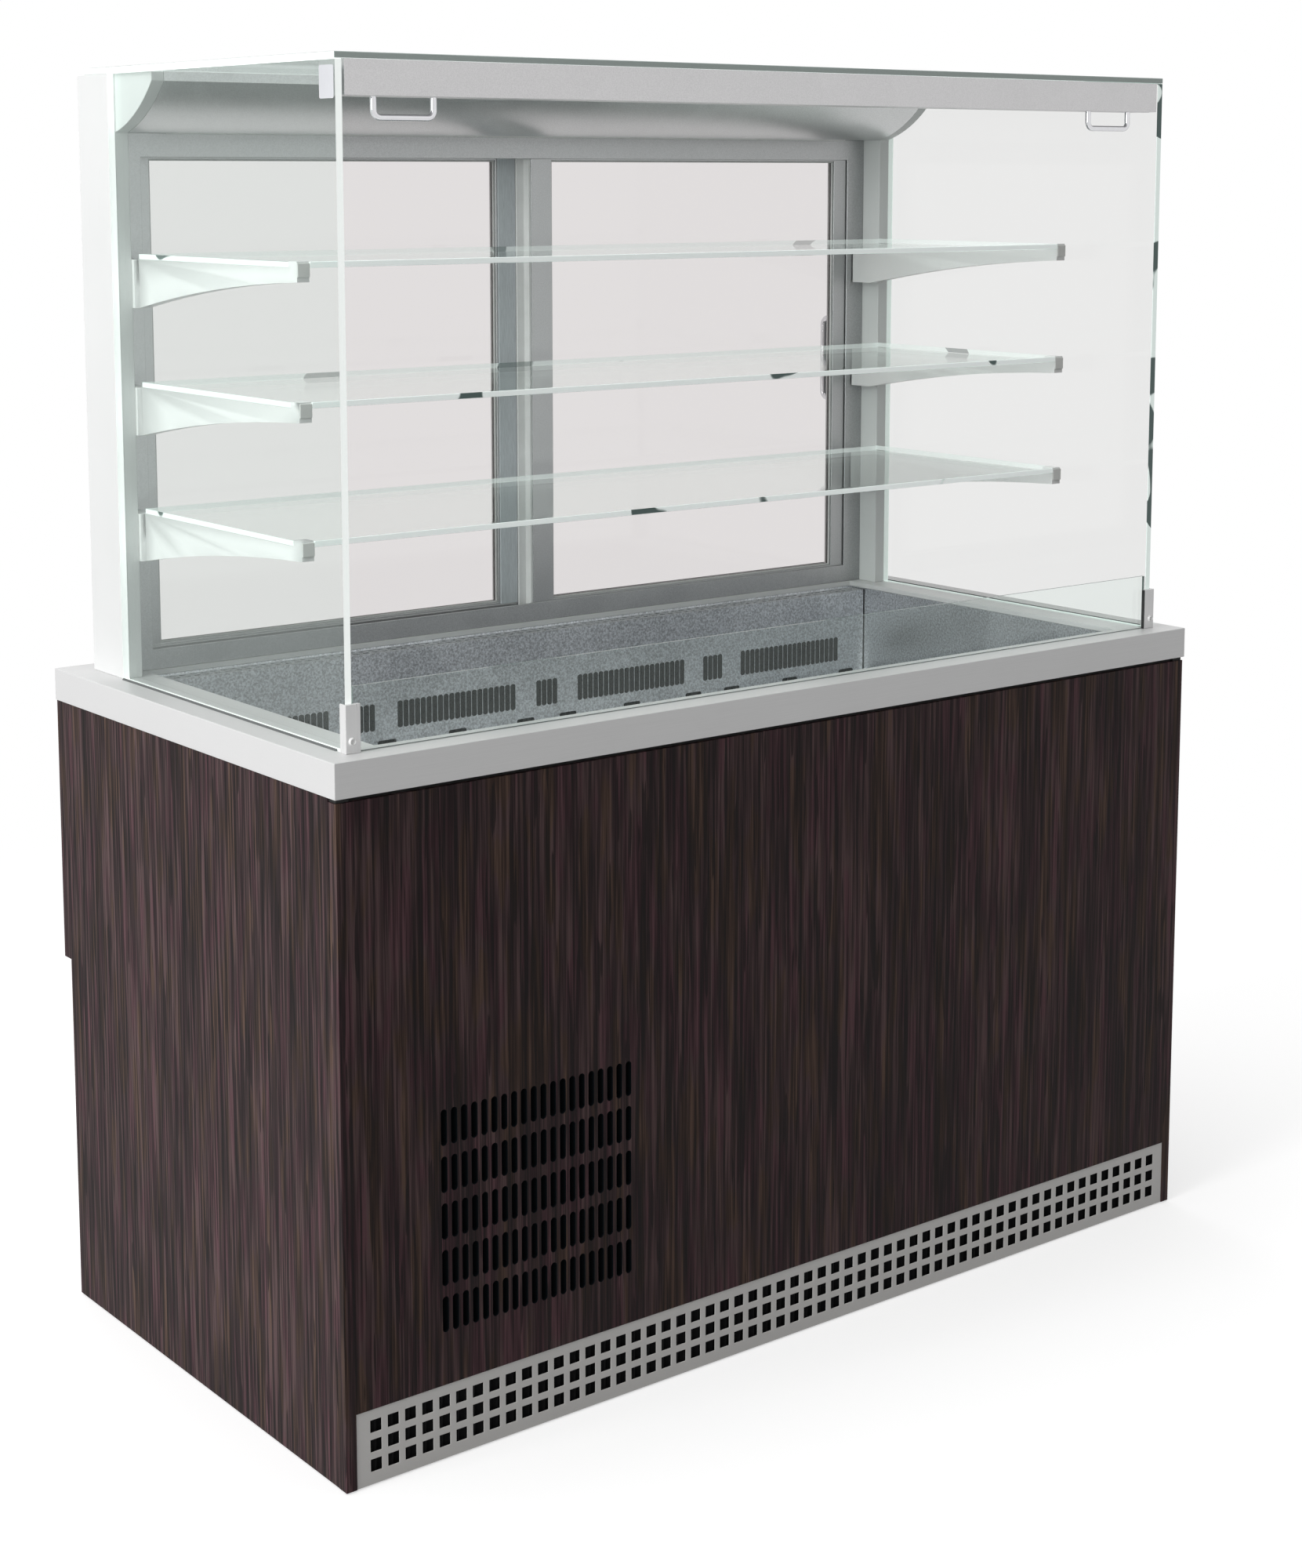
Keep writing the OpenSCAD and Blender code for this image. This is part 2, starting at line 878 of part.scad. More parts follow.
module refrigerant_pipes() {
    stub = compressor_foot + stub_top;
    stub_y = compressor_y - 20;
    coil_y = behind(52);
    run = 330;
    suction = tube_height(evaporator_low.z, evaporator_high.z, evaporator_tubes, 0);
    liquid = tube_height(evaporator_low.z, evaporator_high.z, evaporator_tubes, 3);
    outlet = tube_height(coil_low, coil_high, condenser_tubes, 0);
    inlet = tube_height(coil_low, coil_high, condenser_tubes, 7);
    color("peru") {
        pipe([
            [evaporator_low.x - 6, pipe_y, suction],
            [pipe_x, pipe_y, suction],
            [pipe_x, pipe_y, run],
            [pipe_x, stub_y, run],
            [compressor_x - stub_reach, stub_y, run],
            [compressor_x - stub_reach, stub_y, stub]
        ], suction_radius);
        pipe([
            [evaporator_low.x - 6, pipe_y, liquid],
            [pipe_x - pipe_spacing, pipe_y, liquid],
            [pipe_x - pipe_spacing, pipe_y, run + 60],
            [-660, pipe_y, run + 60],
            [-660, pipe_y, outlet],
            [-660, coil_y, outlet],
            [coil_left - 6, coil_y, outlet]
        ], liquid_radius);
        pipe([
            [coil_right + 6, coil_y, inlet],
            [-240, coil_y, inlet],
            [-240, stub_y, inlet],
            [compressor_x + stub_reach, stub_y, inlet],
            [compressor_x + stub_reach, stub_y, stub]
        ], liquid_radius);
    }
}

// ---- Rear panel and controls ----

fascia_rear = behind(738);
panel_x = 450;
panel_z = 670;
bezel_face = fascia_rear + 3;
body_edge = 8;
button_radius = 5;
button_depth = 9;
button_proud = 1.6;
rocker_width = 13.4;
rocker_half_length = 9.5;
rocker_pin = 1.5;
rocker_tilt = 10;

module rear_fascia() {
    sheet = 2;
    color("gray") {
        difference() {
            block(
                [-board_inner, fascia_rear - sheet, step_height],
                [board_inner, fascia_rear, fascia_bottom]
            );
            block(
                [
                    panel_x - control_width / 2 + body_edge,
                    fascia_rear - sheet - past,
                    panel_z - control_height / 2 + body_edge
                ],
                [
                    panel_x + control_width / 2 - body_edge,
                    fascia_rear + past,
                    panel_z + control_height / 2 - body_edge
                ]
            );
        }
        block(
            [-board_inner, behind(706), step_height],
            [board_inner, fascia_rear - sheet, step_height + sheet]
        );
    }
}

button_places = [panel_x + 14, panel_x - 8, panel_x - 30];
rocker_places = [panel_x - 62, panel_x - 90];
display_place = panel_x + 66;

module control_panel() {
    gap = 0.08;
    pocket = bezel_face - button_depth;
    color("#303030")
        difference() {
            union() {
                block(
                    [panel_x - control_width / 2, fascia_rear, panel_z - control_height / 2],
                    [panel_x + control_width / 2, bezel_face, panel_z + control_height / 2]
                );
                block(
                    [
                        panel_x - control_width / 2 + body_edge,
                        fascia_rear - 34,
                        panel_z - control_height / 2 + body_edge
                    ],
                    [
                        panel_x + control_width / 2 - body_edge,
                        fascia_rear,
                        panel_z + control_height / 2 - body_edge
                    ]
                );
            }
            block(
                [display_place - 32, bezel_face - 1, panel_z - 16],
                [display_place + 32, bezel_face + past, panel_z + 16]
            );
            for (x = button_places)
                translate([x, pocket, panel_z])
                    rotate([-90, 0, 0])
                        cylinder(button_depth + past, button_radius + gap, button_radius + gap);
            for (x = rocker_places) {
                block(
                    [x - rocker_width / 2 - 0.3, fascia_rear - 7, panel_z - rocker_half_length - 1.1],
                    [x + rocker_width / 2 + 0.3, bezel_face + past, panel_z + rocker_half_length + 1.1]
                );
                translate([x - rocker_width / 2 - 2.3, fascia_rear, panel_z])
                    rotate([0, 90, 0])
                        cylinder(
                            rocker_width + 4.6,
                            rocker_pin + running_fit,
                            rocker_pin + running_fit,
                            $fn = 24
                        );
            }
        }
}

module push_button(x) {
    travel_room = 2;
    color("whitesmoke")
        translate([x, bezel_face - button_depth + travel_room, panel_z])
            rotate([-90, 0, 0])
                cylinder(button_depth - travel_room + button_proud, button_radius, button_radius);
}

module set_button() {
    push_button(button_places[0]);
}

module up_button() {
    push_button(button_places[1]);
}

module down_button() {
    push_button(button_places[2]);
}

module rocker(x) {
    color("black")
        translate([x, fascia_rear, panel_z]) {
            rotate([-rocker_tilt, 0, 0])
                across(-rocker_width / 2, rocker_width / 2)
                    polygon([
                        [-4, -rocker_half_length + 2],
                        [3, -rocker_half_length],
                        [2.2, 0],
                        [3, rocker_half_length],
                        [-4, rocker_half_length - 2]
                    ]);
            translate([-rocker_width / 2 - 2, 0, 0])
                rotate([0, 90, 0])
                    cylinder(rocker_width + 4, rocker_pin, rocker_pin, $fn = 24);
        }
}

module main_switch() {
    rocker(rocker_places[0]);
}

module light_switch() {
    rocker(rocker_places[1]);
}

// ---- Rear plant doors ----

door_outer = behind(worktop_depth - step_depth);
door_inner = door_outer - plant_door;
door_low = base_top + 8;
door_high = step_height - 6;
door_side = board_inner - 5.5;
door_meeting = 2;
pivot_x = board_inner - pivot_inset;
pivot_y = door_outer - plant_door / 2;
pivot_block = 16;
plate = 4;

module plant_door_tray(louvred) {
    sheet = 1.5;
    difference() {
        block([door_meeting, door_inner, door_low], [door_side, door_outer, door_high]);
        difference() {
            block(
                [door_meeting + sheet, door_inner - past, door_low + sheet],
                [door_side - sheet, door_outer - sheet, door_high - sheet]
            );
            for (height = [door_low, door_high - pivot_block])
                block(
                    [pivot_x - 8, door_inner - 2 * past, height],
                    [door_side, door_outer, height + pivot_block]
                );
        }
        translate([pivot_x, pivot_y, door_low - past])
            cylinder(
                door_high - door_low + 2 * past,
                pivot_radius + running_fit,
                pivot_radius + running_fit
            );
        if (louvred)
            facing(door_outer - 2 * sheet, door_outer + past)
                for (row = [0 : louvre_rows - 1])
                    for (column = [-1, 1])
                        translate([(door_side + pivot_block) / 2 + column * 75, door_low + 90 + row * 16])
                            slot(120, 6);
    }
}

module right_plant_door() {
    color("gray")
        plant_door_tray(false);
}

module left_plant_door() {
    color("gray")
        mirror([1, 0, 0])
            plant_door_tray(true);
}

module plant_handle() {
    width = 16;
    thickness = 5;
    length = 120;
    low = 245;
    near = 30;
    rear = behind(worktop_depth - 1);
    color("silver") {
        block([near, rear - thickness, low], [near + width, rear, low + length]);
        for (height = [low, low + length - thickness])
            block([near, door_outer, height], [near + width, rear, height + thickness]);
    }
}

module right_plant_handle() {
    plant_handle();
}

module left_plant_handle() {
    mirror([1, 0, 0])
        plant_handle();
}

module plant_door_pivots() {
    floor_top = base_top + base_sheet;
    edge = board_inner - 0.5;
    color("dimgray")
        both_sides() {
            block([640, behind(672), floor_top], [board_inner - 31, door_outer, floor_top + plate]);
            block([640, behind(706), floor_top], [edge, door_outer, floor_top + plate]);
            translate([pivot_x, pivot_y, floor_top])
                cylinder(18, pivot_radius, pivot_radius);
            block([board_inner - 31, behind(706), step_height - plate], [edge, door_outer, step_height]);
            translate([pivot_x, pivot_y, step_height - 18])
                cylinder(18, pivot_radius, pivot_radius);
        }
}

// ---- Posts and canopy ----

canopy_run = post_front - canopy_front;
canopy_fall = canopy_drop - canopy_lip;
canopy_chord = norm([canopy_run, canopy_fall]);
canopy_offset = sqrt(pow(canopy_radius, 2) - pow(canopy_chord / 2, 2));
canopy_centre = [
    behind(canopy_front) + canopy_run / 2 + canopy_offset * canopy_fall / canopy_chord,
    post_top - canopy_lip - canopy_fall / 2 + canopy_offset * canopy_run / canopy_chord
];

// Side outline of the canopy, drawn in by a wall thickness.
module canopy_outline(inset) {
    intersection() {
        translate([behind(canopy_front) + inset, canopy_bottom + inset])
            square([post_rear - canopy_front - 2 * inset, canopy_drop - 2 * inset]);
        translate(canopy_centre)
            circle(canopy_radius - inset, $fn = 180);
    }
}

module right_post() {
    color("white") {
        across(post_inner, glass_inner - 1)
            canopy_outline(0);
        block(
            [post_inner, behind(post_front), worktop_height],
            [post_outer, behind(post_rear), post_top]
        );
    }
}

module left_post() {
    mirror([1, 0, 0])
        right_post();
}

light_half = 600;
light_front = post_front + 2;
light_rear = post_front + 36;

module canopy() {
    color("gainsboro")
        difference() {
            across(-post_inner, post_inner)
                canopy_outline(0);
            across(-post_inner - past, post_inner + past)
                canopy_outline(canopy_sheet);
            block(
                [-light_half, behind(light_front), canopy_bottom - past],
                [light_half, behind(light_rear), canopy_bottom + 2 * canopy_sheet]
            );
        }
}

module canopy_light() {
    color("white")
        block(
            [-light_half, behind(light_front), canopy_bottom - 1],
            [light_half, behind(light_rear), canopy_bottom + 14]
        );
}

// ---- Door frame and sliding doors ----

frame_rear = frame_front + frame_depth;
track_width = leaf_thickness + 2;
front_track = frame_front + 2.5;
rear_track = frame_rear - 2.5 - track_width;
track_depth = 20;
leaf_low = worktop_height + sill_height - track_depth + 0.5;
leaf_high = header_bottom + track_depth - 0.5;
leaf_near = meeting_gap;
leaf_far = leaf_near + leaf_width;
leaf_rail = 22;
glass_bite = 8;

module door_frame() {
    groove_far = leaf_far + 2;
    low = worktop_height + sill_height;
    color("silver")
        difference() {
            block(
                [-post_inner, behind(frame_front), worktop_height],
                [post_inner, behind(frame_rear), canopy_bottom]
            );
            block(
                [-jamb_inner, behind(frame_front) - past, low],
                [jamb_inner, behind(frame_rear) + past, header_bottom]
            );
            for (track = [front_track, rear_track])
                block(
                    [-groove_far, behind(track), low - track_depth],
                    [groove_far, behind(track + track_width), header_bottom + track_depth]
                );
        }
}

// Glass of one leaf, at the middle of the leaf's thickness.
module leaf_glass(track) {
    middle = behind(track + track_width / 2);
    block(
        [leaf_near + stile_width - glass_bite, middle - door_glass / 2, leaf_low + leaf_rail - glass_bite],
        [leaf_far - stile_width + glass_bite, middle + door_glass / 2, leaf_high - leaf_rail + glass_bite]
    );
}

module leaf_frame(track) {
    front = behind(track + 1);
    difference() {
        block([leaf_near, front, leaf_low], [leaf_far, front + leaf_thickness, leaf_high]);
        block(
            [leaf_near + stile_width, front - past, leaf_low + leaf_rail],
            [leaf_far - stile_width, front + leaf_thickness + past, leaf_high - leaf_rail]
        );
        leaf_glass(track);
    }
}

module left_sliding_door() {
    color("silver")
        mirror([1, 0, 0])
            leaf_frame(rear_track);
}

module right_sliding_door() {
    color("silver")
        leaf_frame(front_track);
}

module left_door_glass() {
    color("lightcyan", 0.4)
        mirror([1, 0, 0])
            leaf_glass(rear_track);
}

module right_door_glass() {
    color("lightcyan", 0.4)
        leaf_glass(front_track);
}

module sliding_door_handle(track) {
    radius = 5;
    face = behind(track + 1 + leaf_thickness);
    x = leaf_far - 20;
    low = door_handle_height - door_handle_length / 2 + radius;
    high = door_handle_height + door_handle_length / 2 - radius;
    color("silver")
        pipe([
            [x, face, low],
            [x, face + 27, low],
            [x, face + 27, high],
            [x, face, high]
        ], radius);
}

module left_door_handle() {
    mirror([1, 0, 0])
        sliding_door_handle(rear_track);
}

module right_door_handle() {
    sliding_door_handle(front_track);
}

// ---- Glass ----

module right_side_glass() {
    color("lightcyan", 0.4)
        block(
            [glass_inner, behind(glass_front), worktop_height],
            [glass_outer, behind(post_front), glass_top]
        );
}

module left_side_glass() {
    mirror([1, 0, 0])
        right_side_glass();
}

module top_glass() {
    color("lightcyan", 0.4)
        block(
            [-glass_outer, behind(glass_front), glass_top],
            [glass_outer, behind(top_glass_rear), glass_top + top_glass_thickness]
        );
}

module low_front_glass() {
    color("lightcyan", 0.4)
        block(
            [2 - glass_inner, behind(glass_front), worktop_height],
            [glass_inner - 2, behind(glass_front + low_glass), worktop_height + low_glass_height]
        );
}

module glass_clips() {
    outer = glass_outer + 5;
    front = behind(glass_front - 11);
    screw_head = 3;
    color("gainsboro")
        both_sides() {
            difference() {
                block(
                    [outer - clip_width, front, worktop_height],
                    [outer, front + clip_depth, worktop_height + clip_height]
                );
                block(
                    [glass_inner, behind(glass_front), worktop_height - past],
                    [glass_outer, front + clip_depth + past, worktop_height + clip_height + past]
                );
                block(
                    [outer - clip_width - past, behind(glass_front), worktop_height - past],
                    [glass_inner - 2, behind(glass_front + low_glass), worktop_height + clip_height + past]
                );
            }
            translate([outer - clip_width / 2, front - screw_head, worktop_height + 12])
                rotate([-90, 0, 0])
                    cylinder(screw_head, clip_screw / 2, clip_screw / 2);
        }
}

// ---- Shelves ----

shelf_tops = [for (index = [0 : 2]) bottom_shelf_height + index * shelf_pitch];
bracket_front = shelf_front + 2;
bracket_rear = shelf_rear + 1;
upstand = 20;
cap_spigot = 12;
bracket_chord = bracket_rear - bracket_front;
bracket_drop = bracket_root - bracket_tip;

// Side outline of a bracket below the shelf glass, its top edge at height 0.
module bracket_outline() {
    rise = 7.6;
    length = norm([bracket_chord, bracket_drop]);
    radius = pow(length, 2) / (8 * rise) + rise / 2;
    sink = (radius - rise) / length;
    difference() {
        polygon([
            [behind(bracket_front), -bracket_tip],
            [behind(bracket_rear), -bracket_root],
            [behind(bracket_rear), 0],
            [behind(bracket_front + upstand), 0],
            [behind(bracket_front + upstand), shelf_glass],
            [behind(bracket_front), shelf_glass]
        ]);
        translate([
            behind((bracket_front + bracket_rear) / 2) - sink * bracket_drop,
            -(bracket_tip + bracket_root) / 2 - sink * bracket_chord
        ])
            circle(radius, $fn = 720);
    }
}

module shelf_brackets() {
    color("white")
        both_sides()
            for (top = shelf_tops)
                translate([0, 0, top - shelf_glass]) {
                    difference() {
                        across(bracket_inner, bracket_outer)
                            bracket_outline();
                        cap_block(bracket_front - past, bracket_front + 8, cap_spigot / 2);
                    }
                    block(
                        [bracket_inner, behind(bracket_rear), -bracket_root],
                        [post_inner, behind(bracket_rear + 42), 0]
                    );
                }
}

// A square block on the axis of a bracket's end cap.
module cap_block(from_y, to_y, half) {
    x = (bracket_inner + bracket_outer) / 2;
    z = -2.5;
    block([x - half, behind(from_y), z - half], [x + half, behind(to_y), z + half]);
}

module bracket_end_caps() {
    color("darkgray")
        both_sides()
            for (top = shelf_tops)
                translate([0, 0, top - shelf_glass]) {
                    cap_block(bracket_front - 2, bracket_front, bracket_width / 2);
                    cap_block(bracket_front, bracket_front + 8, cap_spigot / 2);
                }
}

module shelf(top) {
    color("lightcyan", 0.4)
        difference() {
            block(
                [-bracket_outer, behind(shelf_front), top - shelf_glass],
                [bracket_outer, behind(shelf_rear), top]
            );
            both_sides()
                block(
                    [bracket_inner, behind(shelf_front) - past, top - shelf_glass - past],
                    [bracket_outer + past, behind(bracket_front + upstand), top + past]
                );
        }
}

module bottom_shelf() {
    shelf(shelf_tops[0]);
}

module middle_shelf() {
    shelf(shelf_tops[1]);
}

module top_shelf() {
    shelf(shelf_tops[2]);
}

// ---- Night blind ----

cassette_half = glass_inner - 3;
cassette_front = behind(glass_front);
blind_y = cassette_front + 14;
cloth_thickness = 0.25;
roller_y = blind_y + cloth_thickness + 0.1 + roll_radius;
roller_z = glass_top - 18;
roller_pin = 3;
end_plate = 3;
pull_bar_half = cassette_half - 5;
pull_bar_low = cassette_bottom - 0.5;
pull_bar_high = pull_bar_low + 9.5;

module blind_cassette() {
    wall = cassette_wall;
    color("silver")
        difference() {
            block(
                [-cassette_half, cassette_front, cassette_bottom],
                [cassette_half, cassette_front + cassette_depth, glass_top]
            );
            block(
                [end_plate - cassette_half, cassette_front + wall, cassette_bottom + wall],
                [cassette_half - end_plate, cassette_front + cassette_depth - wall, glass_top - wall]
            );
            block(
                [end_plate - cassette_half, blind_y - 7, cassette_bottom - past],
                [cassette_half - end_plate, blind_y + 7, cassette_bottom + 2 * wall]
            );
            translate([-cassette_half - past, roller_y, roller_z])
                rotate([0, 90, 0])
                    cylinder(
                        2 * (cassette_half + past),
                        roller_pin + running_fit,
                        roller_pin + running_fit,
                        $fn = 24
                    );
        }
}

module roller_tube() {
    half = cassette_half - end_plate - 1;
    color("silver")
        translate([0, roller_y, roller_z])
            rotate([0, 90, 0]) {
                cylinder(2 * half, tube_radius, tube_radius, center = true);
                cylinder(2 * (half - 10), roll_radius, roll_radius, center = true);
                cylinder(2 * (cassette_half - 0.5), roller_pin, roller_pin, center = true, $fn = 24);
            }
}

module blind_cloth() {
    half = cassette_half - end_plate - 11;
    color("lightgray")
        block([-half, blind_y, pull_bar_high], [half, blind_y + cloth_thickness, roller_z]);
}

module pull_bar() {
    color("silver")
        block([-pull_bar_half, blind_y - 6, pull_bar_low], [pull_bar_half, blind_y + 6, pull_bar_high]);
}

module pull_handles() {
    radius = pull_handle_bar / 2;
    reach = pull_handle_width / 2 - radius;
    low = pull_bar_low - pull_handle_drop + radius;
    color("silver")
        for (side = [-1, 1])
            translate([side * pull_handle_place, 0, 0])
                pipe([
                    [-reach, blind_y, pull_bar_low],
                    [-reach, blind_y, low],
                    [reach, blind_y, low],
                    [reach, blind_y, pull_bar_low]
                ], radius);
}

levelling_feet();
cabinet_frame();
plinth_grille();
left_side_panel();
right_side_panel();
front_panel();
gap_seal();
worktop();
rear_fascia();
control_panel();
set_button();
up_button();
down_button();
main_switch();
light_switch();
left_plant_door();
right_plant_door();
left_plant_handle();
right_plant_handle();
plant_door_pivots();
well_insulation();
well_liner();
duct_panel();
deck_plates();
evaporator_coil();
fan_plate();
left_evaporator_fan();
right_evaporator_fan();
drain_pipe();
compressor();
condenser_coil();
fan_shroud();
condenser_fan();
refrigerant_pipes();
left_post();
right_post();
door_frame();
left_sliding_door();
right_sliding_door();
left_door_glass();
right_door_glass();
left_door_handle();
right_door_handle();
canopy();
canopy_light();
left_side_glass();
right_side_glass();
top_glass();
low_front_glass();
glass_clips();
shelf_brackets();
bottom_shelf();
middle_shelf();
top_shelf();
bracket_end_caps();
blind_cassette();
roller_tube();
blind_cloth();
pull_bar();
pull_handles();
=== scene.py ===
"""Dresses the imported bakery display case: wood-look cabinet, steel worktop and well, glass case."""

import logging
import math
from dataclasses import dataclass, field
from enum import Enum

import bmesh
import bpy
from bmesh.types import BMEdge, BMVert
from mathutils import Matrix, Vector
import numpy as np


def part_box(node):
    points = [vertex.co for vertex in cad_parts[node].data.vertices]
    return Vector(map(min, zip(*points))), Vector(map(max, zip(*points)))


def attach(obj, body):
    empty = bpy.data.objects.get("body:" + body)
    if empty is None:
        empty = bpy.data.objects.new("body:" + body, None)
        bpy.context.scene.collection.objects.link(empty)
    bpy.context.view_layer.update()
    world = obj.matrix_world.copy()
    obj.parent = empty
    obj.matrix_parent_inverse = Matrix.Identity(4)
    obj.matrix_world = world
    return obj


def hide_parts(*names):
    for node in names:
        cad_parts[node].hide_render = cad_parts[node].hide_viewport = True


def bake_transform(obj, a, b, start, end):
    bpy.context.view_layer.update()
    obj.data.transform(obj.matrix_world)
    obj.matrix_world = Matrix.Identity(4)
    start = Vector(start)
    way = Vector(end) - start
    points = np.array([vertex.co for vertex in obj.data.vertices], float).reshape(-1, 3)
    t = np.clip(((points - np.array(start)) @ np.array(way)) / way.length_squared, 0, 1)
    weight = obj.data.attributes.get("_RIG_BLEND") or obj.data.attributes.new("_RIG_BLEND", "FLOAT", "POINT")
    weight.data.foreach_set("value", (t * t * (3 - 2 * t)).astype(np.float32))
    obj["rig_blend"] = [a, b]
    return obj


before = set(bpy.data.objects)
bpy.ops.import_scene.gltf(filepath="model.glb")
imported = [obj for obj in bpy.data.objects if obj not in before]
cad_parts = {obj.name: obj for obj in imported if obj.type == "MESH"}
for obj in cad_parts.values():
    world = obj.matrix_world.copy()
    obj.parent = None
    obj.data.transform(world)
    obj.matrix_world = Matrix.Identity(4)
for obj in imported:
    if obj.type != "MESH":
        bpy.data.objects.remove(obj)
LOG = logging.getLogger("display_case")
MM = 0.001
MERGE_DISTANCE = 1e-6  # metres
FLAT_ANGLE = 0.6  # degrees between triangles that make one flat face
FACING_COSINE = 0.7  # least cosine between a face and the way that it looks
HEAD_SIDES = 18
HEAD_TAPER = 0.74  # share of a screw head's radius at its top
SOCKET_RIM = 0.30  # share of the radius
SOCKET_DEPTH = 0.6  # share of the height
BEND_STEPS = 8
WHITE = (1.0, 1.0, 1.0)
BLACK = (0.0, 0.0, 0.0)
Colour = tuple[float, float, float]
Place = Vector | tuple[float, float, float]
Input = "Signal | float | Colour"


# ---- Shader expressions ----


class Signal:
    """A shader value that Python arithmetic carries on as Math nodes."""

    def __init__(self, graph: "Graph", socket: bpy.types.NodeSocket) -> None:
        """Wraps one output socket of a shader tree."""
        self.graph = graph
        self.socket = socket

    def _with(self, operation: str, *values: "Signal | float") -> "Signal":
        """Adds one Math node with its inputs in order."""
        return self.graph.node("ShaderNodeMath", {"operation": operation}, dict(enumerate(values)))

    def __add__(self, other: "Signal | float") -> "Signal":
        """The sum."""
        return self._with("ADD", self, other)

    def __radd__(self, other: float) -> "Signal":
        """The sum, number first."""
        return self._with("ADD", other, self)

    def __sub__(self, other: "Signal | float") -> "Signal":
        """The difference."""
        return self._with("SUBTRACT", self, other)

    def __rsub__(self, other: float) -> "Signal":
        """The difference, number first."""
        return self._with("SUBTRACT", other, self)

    def __mul__(self, other: "Signal | float") -> "Signal":
        """The product."""
        return self._with("MULTIPLY", self, other)

    def __pow__(self, other: float) -> "Signal":
        """The power."""
        return self._with("POWER", self, other)

    def beyond(self, edge: float, width: float) -> "Signal":
        """A soft step that rises from 0 at an edge to 1 a width further on."""
        values = {"Value": self, "From Min": edge, "From Max": edge + width}
        return self.graph.node("ShaderNodeMapRange", {"interpolation_type": "SMOOTHSTEP"}, values)


class Graph:
    """A shader tree, built by expressions."""

    def __init__(self, owner: "bpy.types.Material | bpy.types.World") -> None:
        """Empties the tree of a material or of the surroundings.

        Args:
            owner: The material or the surroundings.
        """
        owner.use_nodes = True
        self.owner = owner
        self.tree = owner.node_tree
        self.tree.nodes.clear()

    def node(self, kind: str, settings: dict | None = None, values: dict | None = None,
             out: int | str = 0) -> Signal:
        """Adds a node, its settings first and then its sockets.

        Args:
            kind: The node's type.
            settings: Its own settings, with ramp stops under "stops".
            values: Socket names or numbers, each with a value or a signal.
            out: Name or number of the output that is wanted.

        Returns:
            That output.
        """
        made = self.tree.nodes.new(kind)
        for key, value in (settings or {}).items():
            if key == "stops":
                self._set_stops(made.color_ramp, value)
            else:
                setattr(made, key, value)
        for key, value in (values or {}).items():
            entry = made.inputs[key]
            if isinstance(value, Signal):
                self.tree.links.new(value.socket, entry)
            else:
                entry.default_value = (*value, 1.0) if entry.type == "RGBA" else value
        return Signal(self, made.outputs[out])

    @staticmethod
    def _set_stops(ramp: bpy.types.ColorRamp, stops: list) -> None:
        """Fills a ramp.

        Args:
            ramp: The ramp.
            stops: Its (place, colour) pairs.
        """
        while len(ramp.elements) < len(stops):
            ramp.elements.new(0.5)
        for element, (place, colour) in zip(ramp.elements, stops):
            element.position = place
            element.color = (*colour, 1.0)

    def place(self) -> Signal:
        """The point on the piece, in metres of the shared frame."""
        return self.node("ShaderNodeTexCoord", out="Object")

    def uv(self) -> Signal:
        """The piece's own UV map, in metres."""
        return self.node("ShaderNodeTexCoord", out="UV")

    def ray(self, *kinds: str) -> Signal:
        """Whether the light path is of one of some kinds, 1 or 0."""
        first, *others = (self.node("ShaderNodeLightPath", out=f"Is {kind} Ray") for kind in kinds)
        return sum(others, first)

    def axes(self, point: Signal) -> list[Signal]:
        """The x, y and z of a point, or the red, green and blue of a colour."""
        return [self.node("ShaderNodeSeparateXYZ", None, {0: point}, axis) for axis in range(3)]

    def scaled(self, point: Signal, scale: Colour | float) -> Signal:
        """Stretches a pattern's coordinates by its cells for each metre, alike or along x, y and z."""
        sizes = scale if isinstance(scale, tuple) else (scale,) * 3
        return self.node("ShaderNodeMapping", None, {"Vector": point, "Scale": sizes})

    def noise(self, point: Signal, scale: Colour | float, detail: float = 3.0, rough: float = 0.55) -> Signal:
        """A cloudy pattern around 0.5.

        Args:
            point: The coordinates.
            scale: Cells for each metre, alike or along x, y and z.
            detail: Number of octaves.
            rough: Weight of the fine octaves.

        Returns:
            The pattern.
        """
        values = {"Vector": self.scaled(point, scale), "Scale": 1.0, "Detail": detail, "Roughness": rough}
        return self.node("ShaderNodeTexNoise", None, values)

    def cells(self, point: Signal, scale: float, out: str = "Distance") -> Signal:
        """A cell pattern.

        Args:
            point: The coordinates.
            scale: Cells for each metre.
            out: What is wanted, the distance to a cell's middle or the cell's colour.

        Returns:
            The pattern.
        """
        values = {"Vector": self.scaled(point, scale), "Scale": 1.0}
        return self.node("ShaderNodeTexVoronoi", None, values, out)

    def waves(self, point: Signal, axis: str, scale: float, wobble: float) -> Signal:
        """Parallel bands along one axis.

        Args:
            point: The coordinates.
            axis: The axis that the bands follow one another along.
            scale: Blender's band scale.
            wobble: How far the bands stray.

        Returns:
            The bands, between 0 and 1.
        """
        values = {"Vector": point, "Scale": scale, "Distortion": wobble, "Detail": 1.0}
        return self.node("ShaderNodeTexWave", {"bands_direction": axis}, values, "Fac")

    def ramp(self, value: Signal, stops: list) -> Signal:
        """Turns a value into a colour by (place, colour) stops."""
        return self.node("ShaderNodeValToRGB", {"stops": stops}, {0: value})

    def mix(self, share: Signal | float, low: Input, high: Input, blend: str = "MIX") -> Signal:
        """Mixes two colours.

        Args:
            share: How much of the second colour shows.
            low: The first colour.
            high: The second colour.
            blend: The way of mixing.

        Returns:
            The mixed colour.
        """
        settings = {"data_type": "RGBA", "blend_type": blend}
        return self.node("ShaderNodeMix", settings, {0: share, 6: low, 7: high}, 2)

